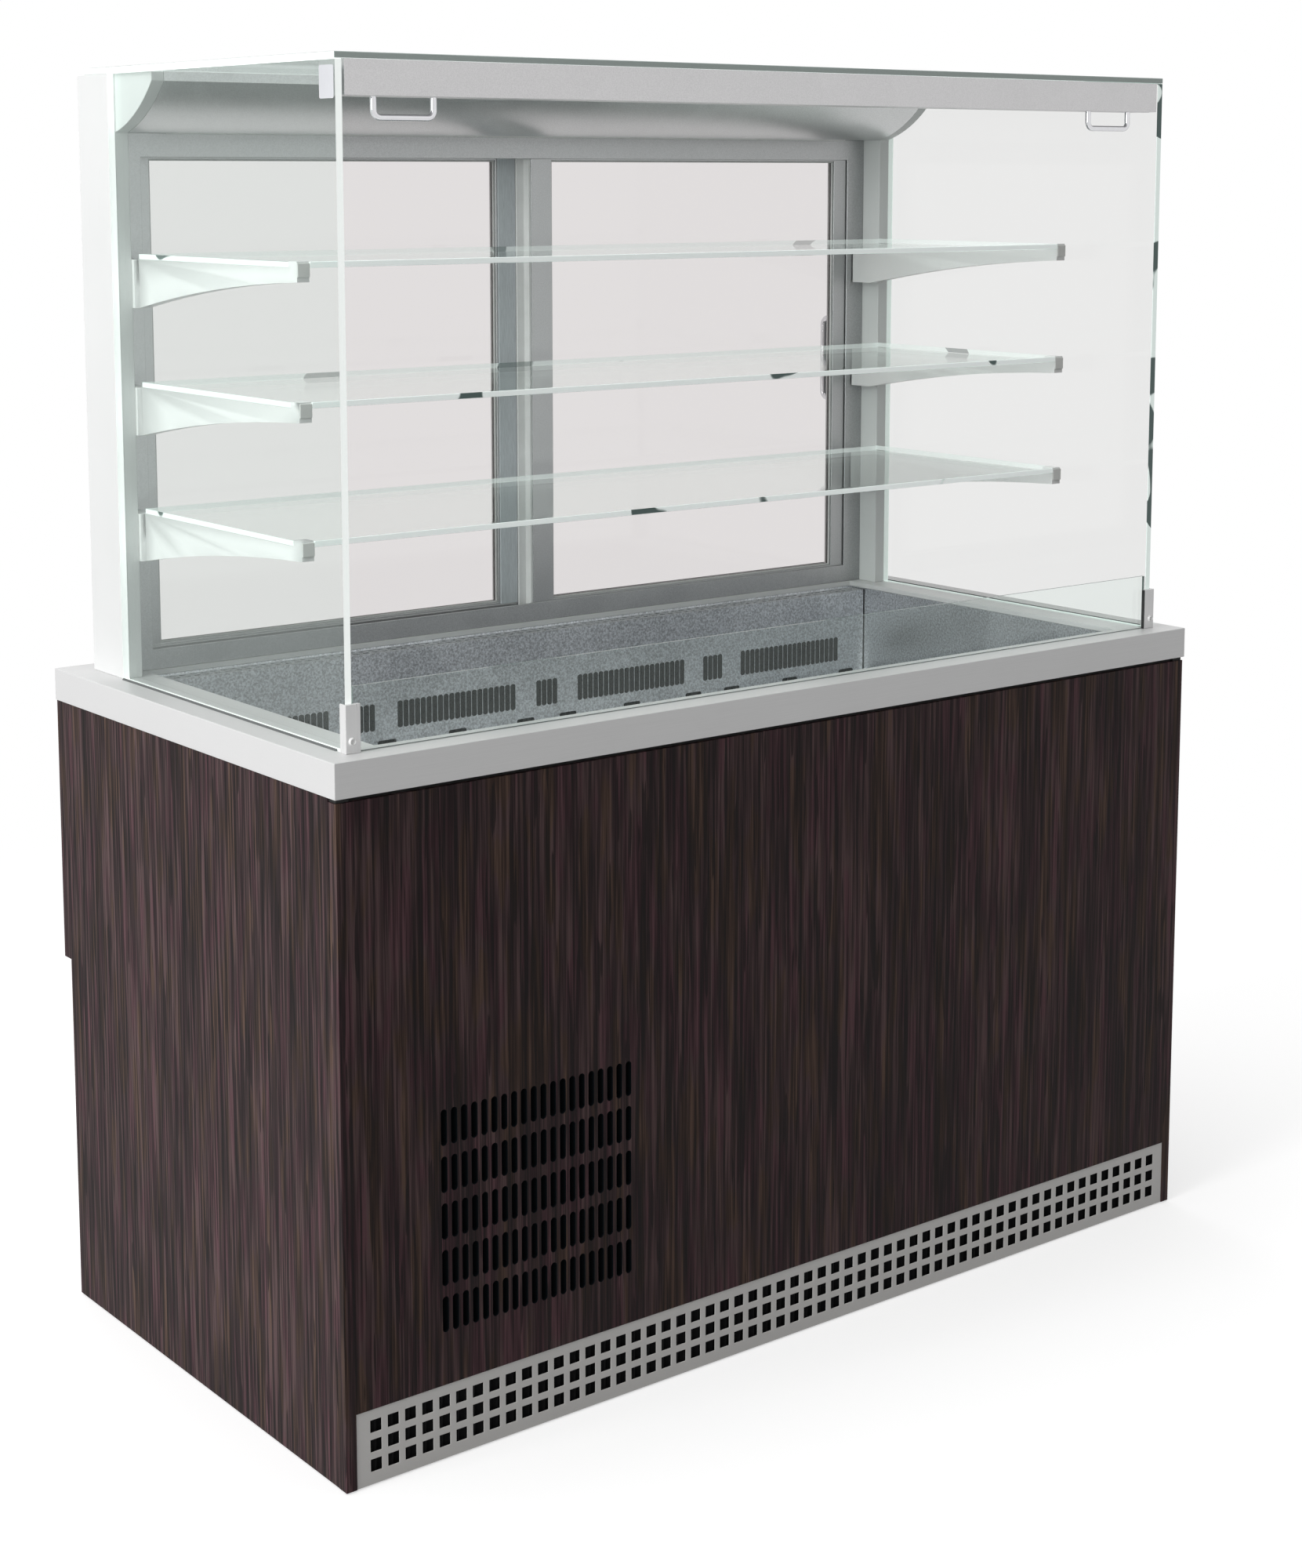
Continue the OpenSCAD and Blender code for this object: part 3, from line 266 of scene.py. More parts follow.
    def either(self, share: Signal, low: Signal, high: Signal) -> Signal:
        """Mixes two shaders by the share of the second."""
        return self.node("ShaderNodeMixShader", None, {0: share, 1: low, 2: high})

    def bump(self, height: Signal, depth: float, strength: float) -> Signal:
        """A surface relief.

        Args:
            height: The relief, between 0 and 1.
            depth: Its depth in metres.
            strength: How strongly it shows.

        Returns:
            The bent normal.
        """
        values = {"Height": height, "Distance": depth, "Strength": strength}
        return self.node("ShaderNodeBump", None, values)

    def grazing(self) -> Signal:
        """How edge-on the surface is seen, from 0 to 1, alike from both sides."""
        return self.node("ShaderNodeLayerWeight", None, {"Blend": 0.5}, "Facing")

    def glow(self, colour: Colour, strength: float) -> Signal:
        """The shader of a surface that shines by itself."""
        return self.node("ShaderNodeEmission", None, {"Color": colour, "Strength": strength})

    def surface(self, **values: Input) -> Signal:
        """The general surface shader, by socket names with underscores for spaces."""
        named = {key.replace("_", " "): value for key, value in values.items()}
        return self.node("ShaderNodeBsdfPrincipled", None, named)

    def finish(self, shader: Signal, kind: str = "ShaderNodeOutputMaterial") -> bpy.types.ID:
        """Sends a shader to the tree's output.

        Args:
            shader: The shader.
            kind: Type of the output node.

        Returns:
            The material or the surroundings that the tree belongs to.
        """
        self.tree.links.new(shader.socket, self.tree.nodes.new(kind).inputs["Surface"])
        return self.owner


def toned(colour: Colour, share: float, lift: float = 0.0) -> Colour:
    """A colour with each part multiplied by a share and then lifted."""
    return tuple(part * share + lift for part in colour)


# ---- Finishes ----


class Grain(Enum):
    """The axis that a sheet was brushed along."""

    ACROSS = 0
    UPRIGHT = 2

    def scale(self, fine: float, long: float) -> Colour:
        """Pattern scale with its long cells along the grain.

        Args:
            fine: Cells for each metre across the grain.
            long: Cells for each metre along the grain.

        Returns:
            The scale along x, y and z.
        """
        return tuple(long if axis == self.value else fine for axis in range(3))


@dataclass(frozen=True)
class Finish:
    """A finish that makes its Blender material once."""

    name: str

    def shade(self, graph: Graph) -> Signal:
        """Builds the finish's shader.

        Args:
            graph: The material's shader tree.

        Returns:
            The shader.
        """
        raise NotImplementedError

    def material(self) -> bpy.types.Material:
        """The Blender material, made on first use.

        Returns:
            The material.
        """
        name = f"{self.name}_finish"
        known = bpy.data.materials.get(name)
        if known:
            return known
        graph = Graph(bpy.data.materials.new(name))
        return graph.finish(self.shade(graph))


@dataclass(frozen=True)
class WoodLaminate(Finish):
    """Dark wood-look laminate with an upright grain."""

    deep: Colour = (0.0050, 0.0028, 0.0030)
    dark: Colour = (0.0230, 0.0141, 0.0147)
    middle: Colour = (0.0470, 0.0301, 0.0306)
    light: Colour = (0.1130, 0.0750, 0.0740)
    plum: Colour = (1.0, 0.76, 0.88)
    plain: Colour = (0.96, 0.90, 0.92)
    olive: Colour = (0.97, 0.90, 0.70)

    def shade(self, graph: Graph) -> Signal:
        """Builds streaks of several widths, plum and olive tints, long black scores and a fine relief.

        Args:
            graph: The material's shader tree.

        Returns:
            The shader.
        """
        place = graph.place()
        wide = graph.noise(place, (26, 26, 1.4), 2)
        streak = graph.noise(place, (175, 175, 4.0), 2, 0.6)
        fine = graph.noise(place, (430, 430, 7.0), 2, 0.7)
        tone = streak * 0.52 + fine * 0.33 + wide * 0.15
        stops = [(0.40, self.deep), (0.465, self.dark), (0.52, self.middle), (0.60, self.light)]
        patch = graph.noise(place, (58, 58, 8.5), 1)
        tints = [(0.38, self.olive), (0.46, self.plain), (0.54, self.plain), (0.62, self.plum)]
        tinted = graph.mix(1.0, graph.ramp(tone, stops), graph.ramp(patch, tints), "MULTIPLY")
        scores = graph.noise(place, (150, 150, 7.0), 1).beyond(0.63, 0.04)
        scored = graph.mix(scores * 0.8, tinted, self.deep)
        relief = graph.bump(fine * 0.6 + streak * 0.4 - scores * 0.5, 0.00025, 0.35)
        return graph.surface(
            Base_Color=scored, Roughness=0.52 + fine * 0.16, Normal=relief, Specular_IOR_Level=0.12
        )


@dataclass(frozen=True)
class BrushedSteel(Finish):
    """Steel sheet with a brushed grain, faint smudges and fine scratches."""

    colour: Colour = (0.62, 0.62, 0.62)
    rough: float = 0.34
    grain: Grain = Grain.ACROSS
    contrast: float = 0.10
    bare: float = 1.0

    def shade(self, graph: Graph) -> Signal:
        """Builds brushed lines over slow smudges.

        Args:
            graph: The material's shader tree.

        Returns:
            The shader.
        """
        place = graph.place()
        lines = graph.noise(place, self.grain.scale(1400, 9), 3, 0.7)
        smudge = graph.noise(place, 5.0)
        scratch = graph.noise(place, self.grain.scale(380, 14), 2).beyond(0.66, 0.03)
        low, high = toned(self.colour, 1 - 2 * self.contrast), toned(self.colour, 1.12)
        tone = graph.mix(lines * 0.7 + smudge * 0.3, low, high)
        rough = self.rough - 0.09 + lines * 0.10 + smudge * 0.08 - scratch * 0.06
        relief = graph.bump(lines - scratch * 0.4, 0.00004, 0.3)
        return graph.surface(Base_Color=tone, Metallic=self.bare, Roughness=rough, Normal=relief)


@dataclass(frozen=True)
class SpeckledSteel(Finish):
    """Sheet with a fine bright mottle, as rolled or zinc-coated steel has."""

    colour: Colour = (0.50, 0.51, 0.52)
    rough: float = 0.42
    speck: float = 520.0
    spangle: float = 45.0
    contrast: float = 0.5

    def shade(self, graph: Graph) -> Signal:
        """Builds specks over faint crystal patches.

        Args:
            graph: The material's shader tree.

        Returns:
            The shader.
        """
        place = graph.place()
        specks = graph.noise(place, self.speck, 2, 0.8)
        patch = graph.axes(graph.cells(place, self.spangle, "Color"))[0]
        low, high = toned(self.colour, 1 - self.contrast), toned(self.colour, 1 + self.contrast)
        tone = graph.mix(specks.beyond(0.3, 0.4) * 0.85 + patch * 0.15, low, high)
        rough = self.rough - 0.1 + specks * 0.16 + patch * 0.04
        relief = graph.bump(specks, 0.0002, 0.25)
        return graph.surface(Base_Color=tone, Metallic=1.0, Roughness=rough, Normal=relief)


@dataclass(frozen=True)
class Paint(Finish):
    """Powder coat with a faint orange peel, slow tone changes and scuffs."""

    colour: Colour = (0.8, 0.8, 0.8)
    rough: float = 0.42
    peel: float = 900.0
    shine: float = 0.5

    def shade(self, graph: Graph) -> Signal:
        """Builds the coat's peel, tone and scuffs.

        Args:
            graph: The material's shader tree.

        Returns:
            The shader.
        """
        place = graph.place()
        peel = graph.noise(place, self.peel, 2, 0.5)
        slow = graph.noise(place, 3.0)
        scuff = graph.noise(place, (60, 60, 14), 4, 0.7).beyond(0.62, 0.1)
        tone = graph.mix(slow * 0.8 + peel * 0.2, toned(self.colour, 0.88), toned(self.colour, 1.06))
        marked = graph.mix(scuff * 0.12, tone, toned(self.colour, 0.5, 0.25))
        rough = self.rough - 0.04 + peel * 0.06 + scuff * 0.1
        relief = graph.bump(peel, 0.00006, 0.3)
        return graph.surface(Base_Color=marked, Roughness=rough, Normal=relief, Specular_IOR_Level=self.shine)


@dataclass(frozen=True)
class Plastic(Finish):
    """Moulded plastic with a fine eroded texture and rubbed patches."""

    colour: Colour = (0.03, 0.03, 0.03)
    rough: float = 0.5
    texture: float = 1600.0

    def shade(self, graph: Graph) -> Signal:
        """Builds the mould texture and the rubbed patches.

        Args:
            graph: The material's shader tree.

        Returns:
            The shader.
        """
        place = graph.place()
        pits = graph.noise(place, self.texture, 2, 0.6)
        rubbed = graph.noise(place, 35.0)
        high = tuple(min(1.0, part) for part in toned(self.colour, 1.12, 0.004))
        tone = graph.mix(rubbed * 0.6 + pits * 0.4, toned(self.colour, 0.85), high)
        rough = self.rough + pits * 0.12 - rubbed * 0.10
        return graph.surface(Base_Color=tone, Roughness=rough, Normal=graph.bump(pits, 0.00008, 0.35))


@dataclass(frozen=True)
class Chrome(Finish):
    """Polished plating with faint finger smudges and hairline marks."""

    colour: Colour = (0.78, 0.78, 0.80)

    def shade(self, graph: Graph) -> Signal:
        """Builds smudges and hairlines in the polish.

        Args:
            graph: The material's shader tree.

        Returns:
            The shader.
        """
        place = graph.place()
        smudge = graph.noise(place, 90.0)
        hair = graph.noise(place, (1500, 1500, 120), 2).beyond(0.64, 0.05)
        tone = graph.mix(smudge, toned(self.colour, 0.9), self.colour)
        rough = 0.06 + smudge * 0.09 + hair * 0.12
        relief = graph.bump(hair, 0.00002, 0.2)
        return graph.surface(Base_Color=tone, Metallic=1.0, Roughness=rough, Normal=relief)


@dataclass(frozen=True)
class Glass(Finish):
    """Clear pane: a faint tint straight through, a sheen that grows edge-on, wiped smears and dust."""

    tint: Colour = (0.984, 0.992, 0.987)
    sheen: Colour = (0.94, 0.98, 0.96)
    floor: float = 0.014

    def shade(self, graph: Graph) -> Signal:
        """Builds the tint, the edge-on sheen, the smears and the dust.

        Args:
            graph: The material's shader tree.

        Returns:
            The shader.
        """
        place = graph.place()
        smear = graph.noise(place, (14, 14, 3), 4, 0.6)
        dust = graph.noise(place, 900.0, 1).beyond(0.70, 0.05)
        clear = graph.node("ShaderNodeBsdfTransparent", None, {0: self.tint})
        rough, relief = 0.015 + smear * 0.05, graph.bump(smear, 0.0001, 0.05)
        face = graph.surface(Base_Color=self.sheen, Metallic=1.0, Roughness=rough, Normal=relief)
        share = graph.grazing() ** 5.0 * 0.6 + self.floor + smear * 0.008 + dust * 0.01
        return graph.either(share, clear, face)


@dataclass(frozen=True)
class GlassEdge(Finish):
    """Polished rim of a pane: its pale tone and its glow are painted light, and its deep green dashes are
    painted reflections of dark things.
    """

    # The pale tone with its glow is painted light; the deep colour is that of the painted reflections.
    pale: Colour = (0.80, 0.87, 0.84)
    deep: Colour = (0.030, 0.060, 0.055)
    ground: Colour = (0.55, 0.66, 0.62)
    reflection_dash: Colour = (6.0, 6.0, 6.0)
    reflections_from: float = 0.66
    # strength of the painted glow that makes the rim read bright
    glow: float = 0.0
    behind: float = 9.0

    def shade(self, graph: Graph) -> Signal:
        """Builds the rim's painted light, a pale tone that glows, its dashes of painted reflection (none
        further back than a depth) and the grinding marks.

        Args:
            graph: The material's shader tree.

        Returns:
            The shader.
        """
        place = graph.place()
        ahead = (0.0 - graph.axes(place)[1]).beyond(-self.behind, 0.001)
        # dashes of painted reflection, deep green where the rim would mirror dark things
        painted_reflections = graph.noise(place, self.reflection_dash, 1, 0.5).beyond(self.reflections_from, 0.012) * ahead
        grind = graph.noise(place, 300.0, 2)
        tone = graph.mix(painted_reflections, graph.mix(grind * 0.35, self.pale, self.ground), self.deep)
        rough, relief = 0.12 + grind * 0.12, graph.bump(grind, 0.00004, 0.2)
        # the rim glows with its own tone: painted light, though it is no lamp
        return graph.surface(
            Base_Color=tone, Roughness=rough, Normal=relief, Emission_Color=tone, Emission_Strength=self.glow
        )


@dataclass(frozen=True)
class Foam(Finish):
    """Open cut foam or a soft strip with small cells."""

    colour: Colour = (0.75, 0.66, 0.42)
    cell: float = 420.0

    def shade(self, graph: Graph) -> Signal:
        """Builds the cells and the uneven tone.

        Args:
            graph: The material's shader tree.

        Returns:
            The shader.
        """
        place = graph.place()
        cell = graph.cells(place, self.cell)
        tone = graph.mix(cell * 0.6 + graph.noise(place, 25.0) * 0.4, toned(self.colour, 0.6), self.colour)
        return graph.surface(Base_Color=tone, Roughness=0.86, Normal=graph.bump(cell, 0.0004, 0.6))


@dataclass(frozen=True)
class Cloth(Finish):
    """Plain-woven blind cloth, read from the piece's own UV map in metres."""

    colour: Colour = (0.62, 0.62, 0.60)
    thread: float = 1250.0
    wobble: float = 0.4

    def shade(self, graph: Graph) -> Signal:
        """Builds warp and weft threads with uneven yarn.

        Args:
            graph: The material's shader tree.

        Returns:
            The shader.
        """
        place = graph.uv()
        warp, weft = (graph.waves(place, axis, self.thread / 2, self.wobble) for axis in "XY")
        yarn = graph.noise(place, (700, 30, 1), 2)
        tone = graph.mix(warp * 0.2 + weft * 0.1 + yarn * 0.7, toned(self.colour, 0.86), self.colour)
        relief = graph.bump(yarn, 0.0001, 0.3)
        return graph.surface(Base_Color=tone, Roughness=0.82, Normal=relief, Sheen_Weight=0.3)


@dataclass(frozen=True)
class Fins(Finish):
    """Thin fin sheet with its mill grain and the dust that settles on it."""

    colour: Colour = (0.55, 0.56, 0.57)
    metal: float = 1.0

    def shade(self, graph: Graph) -> Signal:
        """Builds the mill grain and the dust.

        Args:
            graph: The material's shader tree.

        Returns:
            The shader.
        """
        place = graph.place()
        grain = graph.noise(place, (900, 60, 60), 2)
        dust = graph.noise(place, 30.0, 4, 0.7).beyond(0.5, 0.3)
        tone = graph.mix(grain, toned(self.colour, 0.8), self.colour)
        dusty = graph.mix(dust * 0.4, tone, toned(self.colour, 0.6, 0.03))
        rough, relief = 0.36 + grain * 0.1 + dust * 0.2, graph.bump(grain, 0.0001, 0.3)
        return graph.surface(Base_Color=dusty, Metallic=self.metal, Roughness=rough, Normal=relief)


@dataclass(frozen=True)
class Lens(Finish):
    """Dark red plastic of a display's window and its unlit segments, faintly smeared."""

    colour: Colour = (0.02, 0.006, 0.006)

    def shade(self, graph: Graph) -> Signal:
        """Builds the dark lens with its smear.

        Args:
            graph: The material's shader tree.

        Returns:
            The shader.
        """
        smear = graph.noise(graph.place(), 120.0)
        tone = graph.mix(smear, self.colour, toned(self.colour, 2))
        return graph.surface(Base_Color=tone, Roughness=0.05 + smear * 0.08, Coat_Weight=0.6)


@dataclass(frozen=True)
class Pile(Finish):
    """Brush strip or pleated filter mat: close upright fibres with a little dust."""

    # near black by default: the colour of the filter mats, painted shade behind the holes
    colour: Colour = (0.012, 0.012, 0.013)
    dust: float = 0.2

    def shade(self, graph: Graph) -> Signal:
        """Builds the fibres and the dust.

        Args:
            graph: The material's shader tree.

        Returns:
            The shader.
        """
        place = graph.place()
        fibre = graph.noise(place, (2200, 2200, 60), 3, 0.7)
        dust = graph.noise(place, 40.0, 4, 0.7).beyond(0.52, 0.3)
        tone = graph.mix(fibre, toned(self.colour, 0.55), toned(self.colour, 1.3))
        dusty = graph.mix(dust * self.dust, tone, toned(self.colour, 1, 0.02))
        relief = graph.bump(fibre, 0.0003, 0.6)
        return graph.surface(Base_Color=dusty, Roughness=0.9, Normal=relief, Specular_IOR_Level=0.1)


@dataclass(frozen=True)
class Lit(Finish):
    """Glowing segment of a display, a little uneven from end to end."""

    colour: Colour = (1.0, 0.10, 0.05)
    glow: float = 1.4

    def shade(self, graph: Graph) -> Signal:
        """Builds the glow.

        Args:
            graph: The material's shader tree.

        Returns:
            The shader.
        """
        uneven = graph.noise(graph.place(), 300.0, 2)
        tone = graph.mix(uneven, toned(self.colour, 0.7), self.colour)
        return graph.surface(
            Base_Color=tone, Roughness=0.3 + uneven * 0.1, Emission_Color=tone, Emission_Strength=self.glow
        )


WOOD = WoodLaminate("wood_laminate")
WORKTOP_STEEL = BrushedSteel("satin_steel", (0.70, 0.70, 0.70), 0.42, contrast=0.05, bare=0.2)
CANOPY_STEEL = SpeckledSteel("polished_steel", (0.60, 0.61, 0.612), 0.36, 650.0, 30.0, 0.12)
CLIP_STEEL = BrushedSteel("clip_steel", (0.74, 0.74, 0.74), 0.30, Grain.UPRIGHT, 0.05, 0.3)
WELL_STEEL = SpeckledSteel("well_steel", (0.60, 0.615, 0.635), 0.36, 300.0, 11.0, 0.40)
GALVANISED = SpeckledSteel("galvanised_steel", (0.45, 0.47, 0.48), 0.45, 300.0, 60.0, 0.3)
ANODISED = SpeckledSteel("anodised_aluminium", (0.41, 0.415, 0.42), 0.40, 700.0, 20.0, 0.14)
PALE_ALUMINIUM = SpeckledSteel("pale_aluminium", (0.54, 0.535, 0.54), 0.42, 700.0, 20.0, 0.10)
GRILLE_PAINT = Paint("grille_paint", (0.80, 0.785, 0.765), 0.38)
WHITE_ENAMEL = Paint("white_enamel", (0.90, 0.90, 0.895), 0.35)
# the posts' copy of the white enamel, made darker: painted shade
SHADED_POST_ENAMEL = Paint("shaded_post_enamel", (0.79, 0.80, 0.795), 0.35)
GREY_PAINT = Paint("grey_paint", (0.33, 0.34, 0.35), 0.40)
BLACK_ENAMEL = Paint("black_enamel", (0.012, 0.012, 0.013), 0.34, shine=0.3)
BLACK_PLASTIC = Plastic("black_plastic", (0.02, 0.02, 0.02))
GREY_PLASTIC = Plastic("grey_plastic", (0.78, 0.78, 0.76), 0.45)
PIPE_PLASTIC = Plastic("pipe_plastic", (0.72, 0.72, 0.70), 0.4, 500.0)
BUTTON_PLASTIC = Plastic("button_plastic", (0.75, 0.75, 0.73), 0.28, 2400.0)
SWITCH_PLASTIC = Plastic("switch_plastic", (0.13, 0.13, 0.135), 0.24, 2400.0)
DIFFUSER = Plastic("light_diffuser", (0.88, 0.88, 0.86), 0.35, 1200.0)
LABEL = Plastic("blank_label", (0.62, 0.63, 0.66), 0.5, 900.0)
GLAZING = Plastic("glazing_strip", (0.90, 0.90, 0.89), 0.4, 900.0)
CHROME = Chrome("chrome", (0.70, 0.70, 0.72))
COPPER = Chrome("copper", (0.72, 0.36, 0.22))
SCREW_STEEL = Chrome("screw_steel", (0.62, 0.62, 0.63))
RUBBER = Foam("black_rubber", (0.012, 0.012, 0.012), 900.0)
SILICONE = Foam("grey_silicone", (0.16, 0.17, 0.17), 1400.0)
GASKET = Foam("pale_gasket", (0.90, 0.90, 0.89), 1200.0)
FOAM = Foam("foam")
# filter mats behind the plinth grille and the front vent, coloured near black as painted shade behind the
# holes
SHADE_DARK_FILTER = Pile("shade_dark_filter_mat")
# near-black teal mat for the duct filter and for slot walls: painted shade in the slots
PAINTED_SHADE_MAT = Pile("duct_mat", (0.004, 0.007, 0.009), 0.03)
# pale fibres, lightened as painted light against the shade at the meeting stile
BRUSH_WITH_PAINTED_LIGHT = Pile("meeting_brush", (0.74, 0.78, 0.81))
FIN_ALUMINIUM = Fins("fin_aluminium")
# a black-coated coil; its near-black colour is also painted shade for what shows through the holes in front
# of it
DARK_FINS = Fins("dark_fins", (0.02, 0.02, 0.022), 0.2)
CLEAR_GLASS = Glass("clear_glass", (0.972, 0.992, 0.984), (0.92, 1.0, 0.97), 0.026)
# the right side glass: the clear glass again with a darker grey tint, painted shade
SHADED_SIDE_GLASS = Glass("shaded_side_glass", (0.912, 0.912, 0.909))
DOOR_GLASS = Glass("door_glass", (0.867, 0.852, 0.852))
SHELF_GLASS = Glass("shelf_glass", (0.975, 0.99, 0.982), floor=0.03)
# The glass edges are one polished glass in several painted tones, one for each pane: the pale tones and glows
# are painted light, the dashes painted reflections, and the dark edge of the low front glass painted shade.
PAINTED_BRIGHT_EDGE = GlassEdge("painted_bright_glass_edge", (0.93, 0.955, 0.94), glow=0.55, reflections_from=0.95)
DASHED_EDGE = GlassEdge(
    "dashed_glass_edge", (0.78, 0.86, 0.83), reflection_dash=(8, 8, 9), reflections_from=0.56, behind=-0.32, glow=0.45
)
SHELF_EDGE = GlassEdge("shelf_glass_edge", (0.86, 0.90, 0.89), reflection_dash=(9, 9, 9), reflections_from=0.66, glow=0.36)
PAINTED_DARK_EDGE = GlassEdge("painted_dark_glass_edge", (0.10, 0.13, 0.125), reflections_from=0.9)
THIN_EDGE = GlassEdge("thin_glass_edge", (0.44, 0.51, 0.485), reflection_dash=(2, 2, 2), reflections_from=0.9)
BLIND_CLOTH = Cloth("blind_cloth")
DISPLAY = Lens("display_lens")
RED_GLOW = Lit("display_segment")
DARK_SEGMENT = Lens("unlit_segment", (0.035, 0.010, 0.010))


# ---- Building ----


def only(kind: type, items: list) -> list:
    """The items of one kind."""
    return [item for item in items if isinstance(item, kind)]


def box(node: str) -> tuple[Vector, Vector]:
    """The lowest and highest corners of a CAD node, in millimetres."""
    low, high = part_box(node)
    return low / MM, high / MM


class Shape:
    """A mesh in the making: bmesh operators with places and sizes in millimetres."""

    def __init__(self) -> None:
        """Starts empty."""
        self.mesh = bmesh.new()

    @classmethod
    def of_node(cls, node: str) -> "Shape":
        """A merged copy of a CAD node, with its flat triangles joined in pairs.

        Args:
            node: Name of the CAD node.

        Returns:
            The copy.
        """
        made = cls()
        made.mesh.from_mesh(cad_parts[node].data)
        bmesh.ops.remove_doubles(made.mesh, verts=made.mesh.verts, dist=MERGE_DISTANCE)
        bmesh.ops.join_triangles(
            made.mesh, faces=made.mesh.faces, angle_face_threshold=math.radians(FLAT_ANGLE),
            angle_shape_threshold=math.pi,
        )
        return made

    def block(self, low: Place, high: Place) -> "Shape":
        """Adds a box between its lowest and highest corners.

        Args:
            low: Lowest corner.
            high: Highest corner.

        Returns:
            This shape.
        """
        low, high = Vector(low) * MM, Vector(high) * MM
        size = Matrix.Diagonal((*(high - low), 1.0))
        bmesh.ops.create_cube(self.mesh, size=1.0, matrix=Matrix.Translation((low + high) / 2) @ size)
        return self

    def disc(self, centre: Place, axis: str, radius: float, length: float, sides: int, finish: int = 0,
             taper: float = 1.0) -> "Shape":
        """Adds a round plug that points along x or y.

        Args:
            centre: Middle of its near face.
            axis: The axis that it points along, x or y.
            radius: Radius of the near face.
            length: Length along the axis.
            sides: Number of its sides.
            finish: Number of its finish on the piece.
            taper: Share of the radius that its far face has.

        Returns:
            This shape.
        """
        turn = {"x": Matrix.Rotation(math.pi / 2, 4, "Y"), "y": Matrix.Rotation(-math.pi / 2, 4, "X")}[axis]
        place = Matrix.Translation(Vector(centre) * MM) @ turn @ Matrix.Translation((0, 0, length * MM / 2))
        self._cone(place, radius, radius * taper, length, sides, finish)
        return self

    def _cone(self, place: Matrix, near: float, far: float, length: float, sides: int, finish: int) -> list:
        """Adds a capped cone.

        Args:
            place: Its placement, with its axis along z.
            near: Radius of the lower face.
            far: Radius of the upper face.
            length: Its length.
            sides: Number of its sides.
            finish: Number of its finish on the piece.

        Returns:
            The vertices.
        """
        made = bmesh.ops.create_cone(
            self.mesh, cap_ends=True, segments=sides, radius1=near * MM, radius2=far * MM,
            depth=length * MM, matrix=place,
        )["verts"]
        self._paint(made, finish)
        return made

    def sweep(self, outline: list, way: Place, finish: int = 0) -> "Shape":
        """Carries a flat outline along a direction.

        Args:
            outline: Its corners in order.
            way: Length and direction of the way.
            finish: Number of its finish on the piece.

        Returns:
            This shape.
        """
        foot = [self.mesh.verts.new(Vector(corner) * MM) for corner in outline]
        face = self.mesh.faces.new(foot)
        top = only(BMVert, bmesh.ops.extrude_face_region(self.mesh, geom=[face], use_keep_orig=True)["geom"])
        bmesh.ops.translate(self.mesh, verts=top, vec=Vector(way) * MM)
        self._paint(foot + top, finish)
        bmesh.ops.recalc_face_normals(self.mesh, faces=list({f for v in foot + top for f in v.link_faces}))
        return self

    def carry(self, edges: list, way: Place) -> tuple[list, list]:
        """Carries an open edge or ring on along a direction, leaving a strip behind it.

        Args:
            edges: The open edges.
            way: Length and direction of the way, in metres.

        Returns:
            The new open edges and their vertices.
        """
        made = bmesh.ops.extrude_edge_only(self.mesh, edges=edges)["geom"]
        verts = only(BMVert, made)
        bmesh.ops.translate(self.mesh, verts=verts, vec=way)
        return [edge for edge in only(BMEdge, made) if all(vert in verts for vert in edge.verts)], verts

    def pleats(self, low: Place, high: Place, pitch: float, thickness: float) -> "Shape":
        """Adds a mat folded to and fro between two corners, its folds upright.

        Args:
            low: Lowest corner.
            high: Highest corner.
            pitch: Distance from fold to fold.
            thickness: Thickness of the mat.

        Returns:
            This shape.
        """
        low, high = Vector(low) * MM, Vector(high) * MM
        folds = round((high.x - low.x) / (pitch * MM / 2))
        ends = [self.mesh.verts.new((low.x, low.y, z)) for z in (low.z, high.z)]
        edges = [self.mesh.edges.new(ends)]
        for fold in range(folds):
            deep = (high.y - low.y) * (1 if fold % 2 == 0 else -1)
            edges, _ = self.carry(edges, ((high.x - low.x) / folds, deep, 0))
        self.mesh.normal_update()
        bmesh.ops.solidify(self.mesh, geom=self.mesh.faces[:], thickness=thickness * MM)
        bmesh.ops.recalc_face_normals(self.mesh, faces=self.mesh.faces)
        return self

    def surround(self, low: Place, high: Place, width: float) -> "Shape":
        """Adds an upright rectangular ring that faces front and back.

        Args:
            low: Lowest outer corner.
            high: Highest outer corner.
            width: Width of its strip.

        Returns:
            This shape.
        """
        (x0, y0, z0), (x1, y1, z1) = low, high
        corners = [(x0, y0, z0), (x1, y0, z0), (x1, y0, z1), (x0, y0, z1)]
        inner = self.mesh.faces.new([self.mesh.verts.new(Vector(corner) * MM) for corner in corners])
        inner.normal_update()
        strip = bmesh.ops.inset_individual(self.mesh, faces=[inner], thickness=width * MM)["faces"]
        bmesh.ops.delete(self.mesh, geom=[inner], context="FACES_ONLY")
        made = bmesh.ops.extrude_face_region(self.mesh, geom=strip, use_keep_orig=True)["geom"]
        bmesh.ops.translate(self.mesh, verts=only(BMVert, made), vec=(0, (y1 - y0) * MM, 0))
        bmesh.ops.recalc_face_normals(self.mesh, faces=self.mesh.faces)
        return self

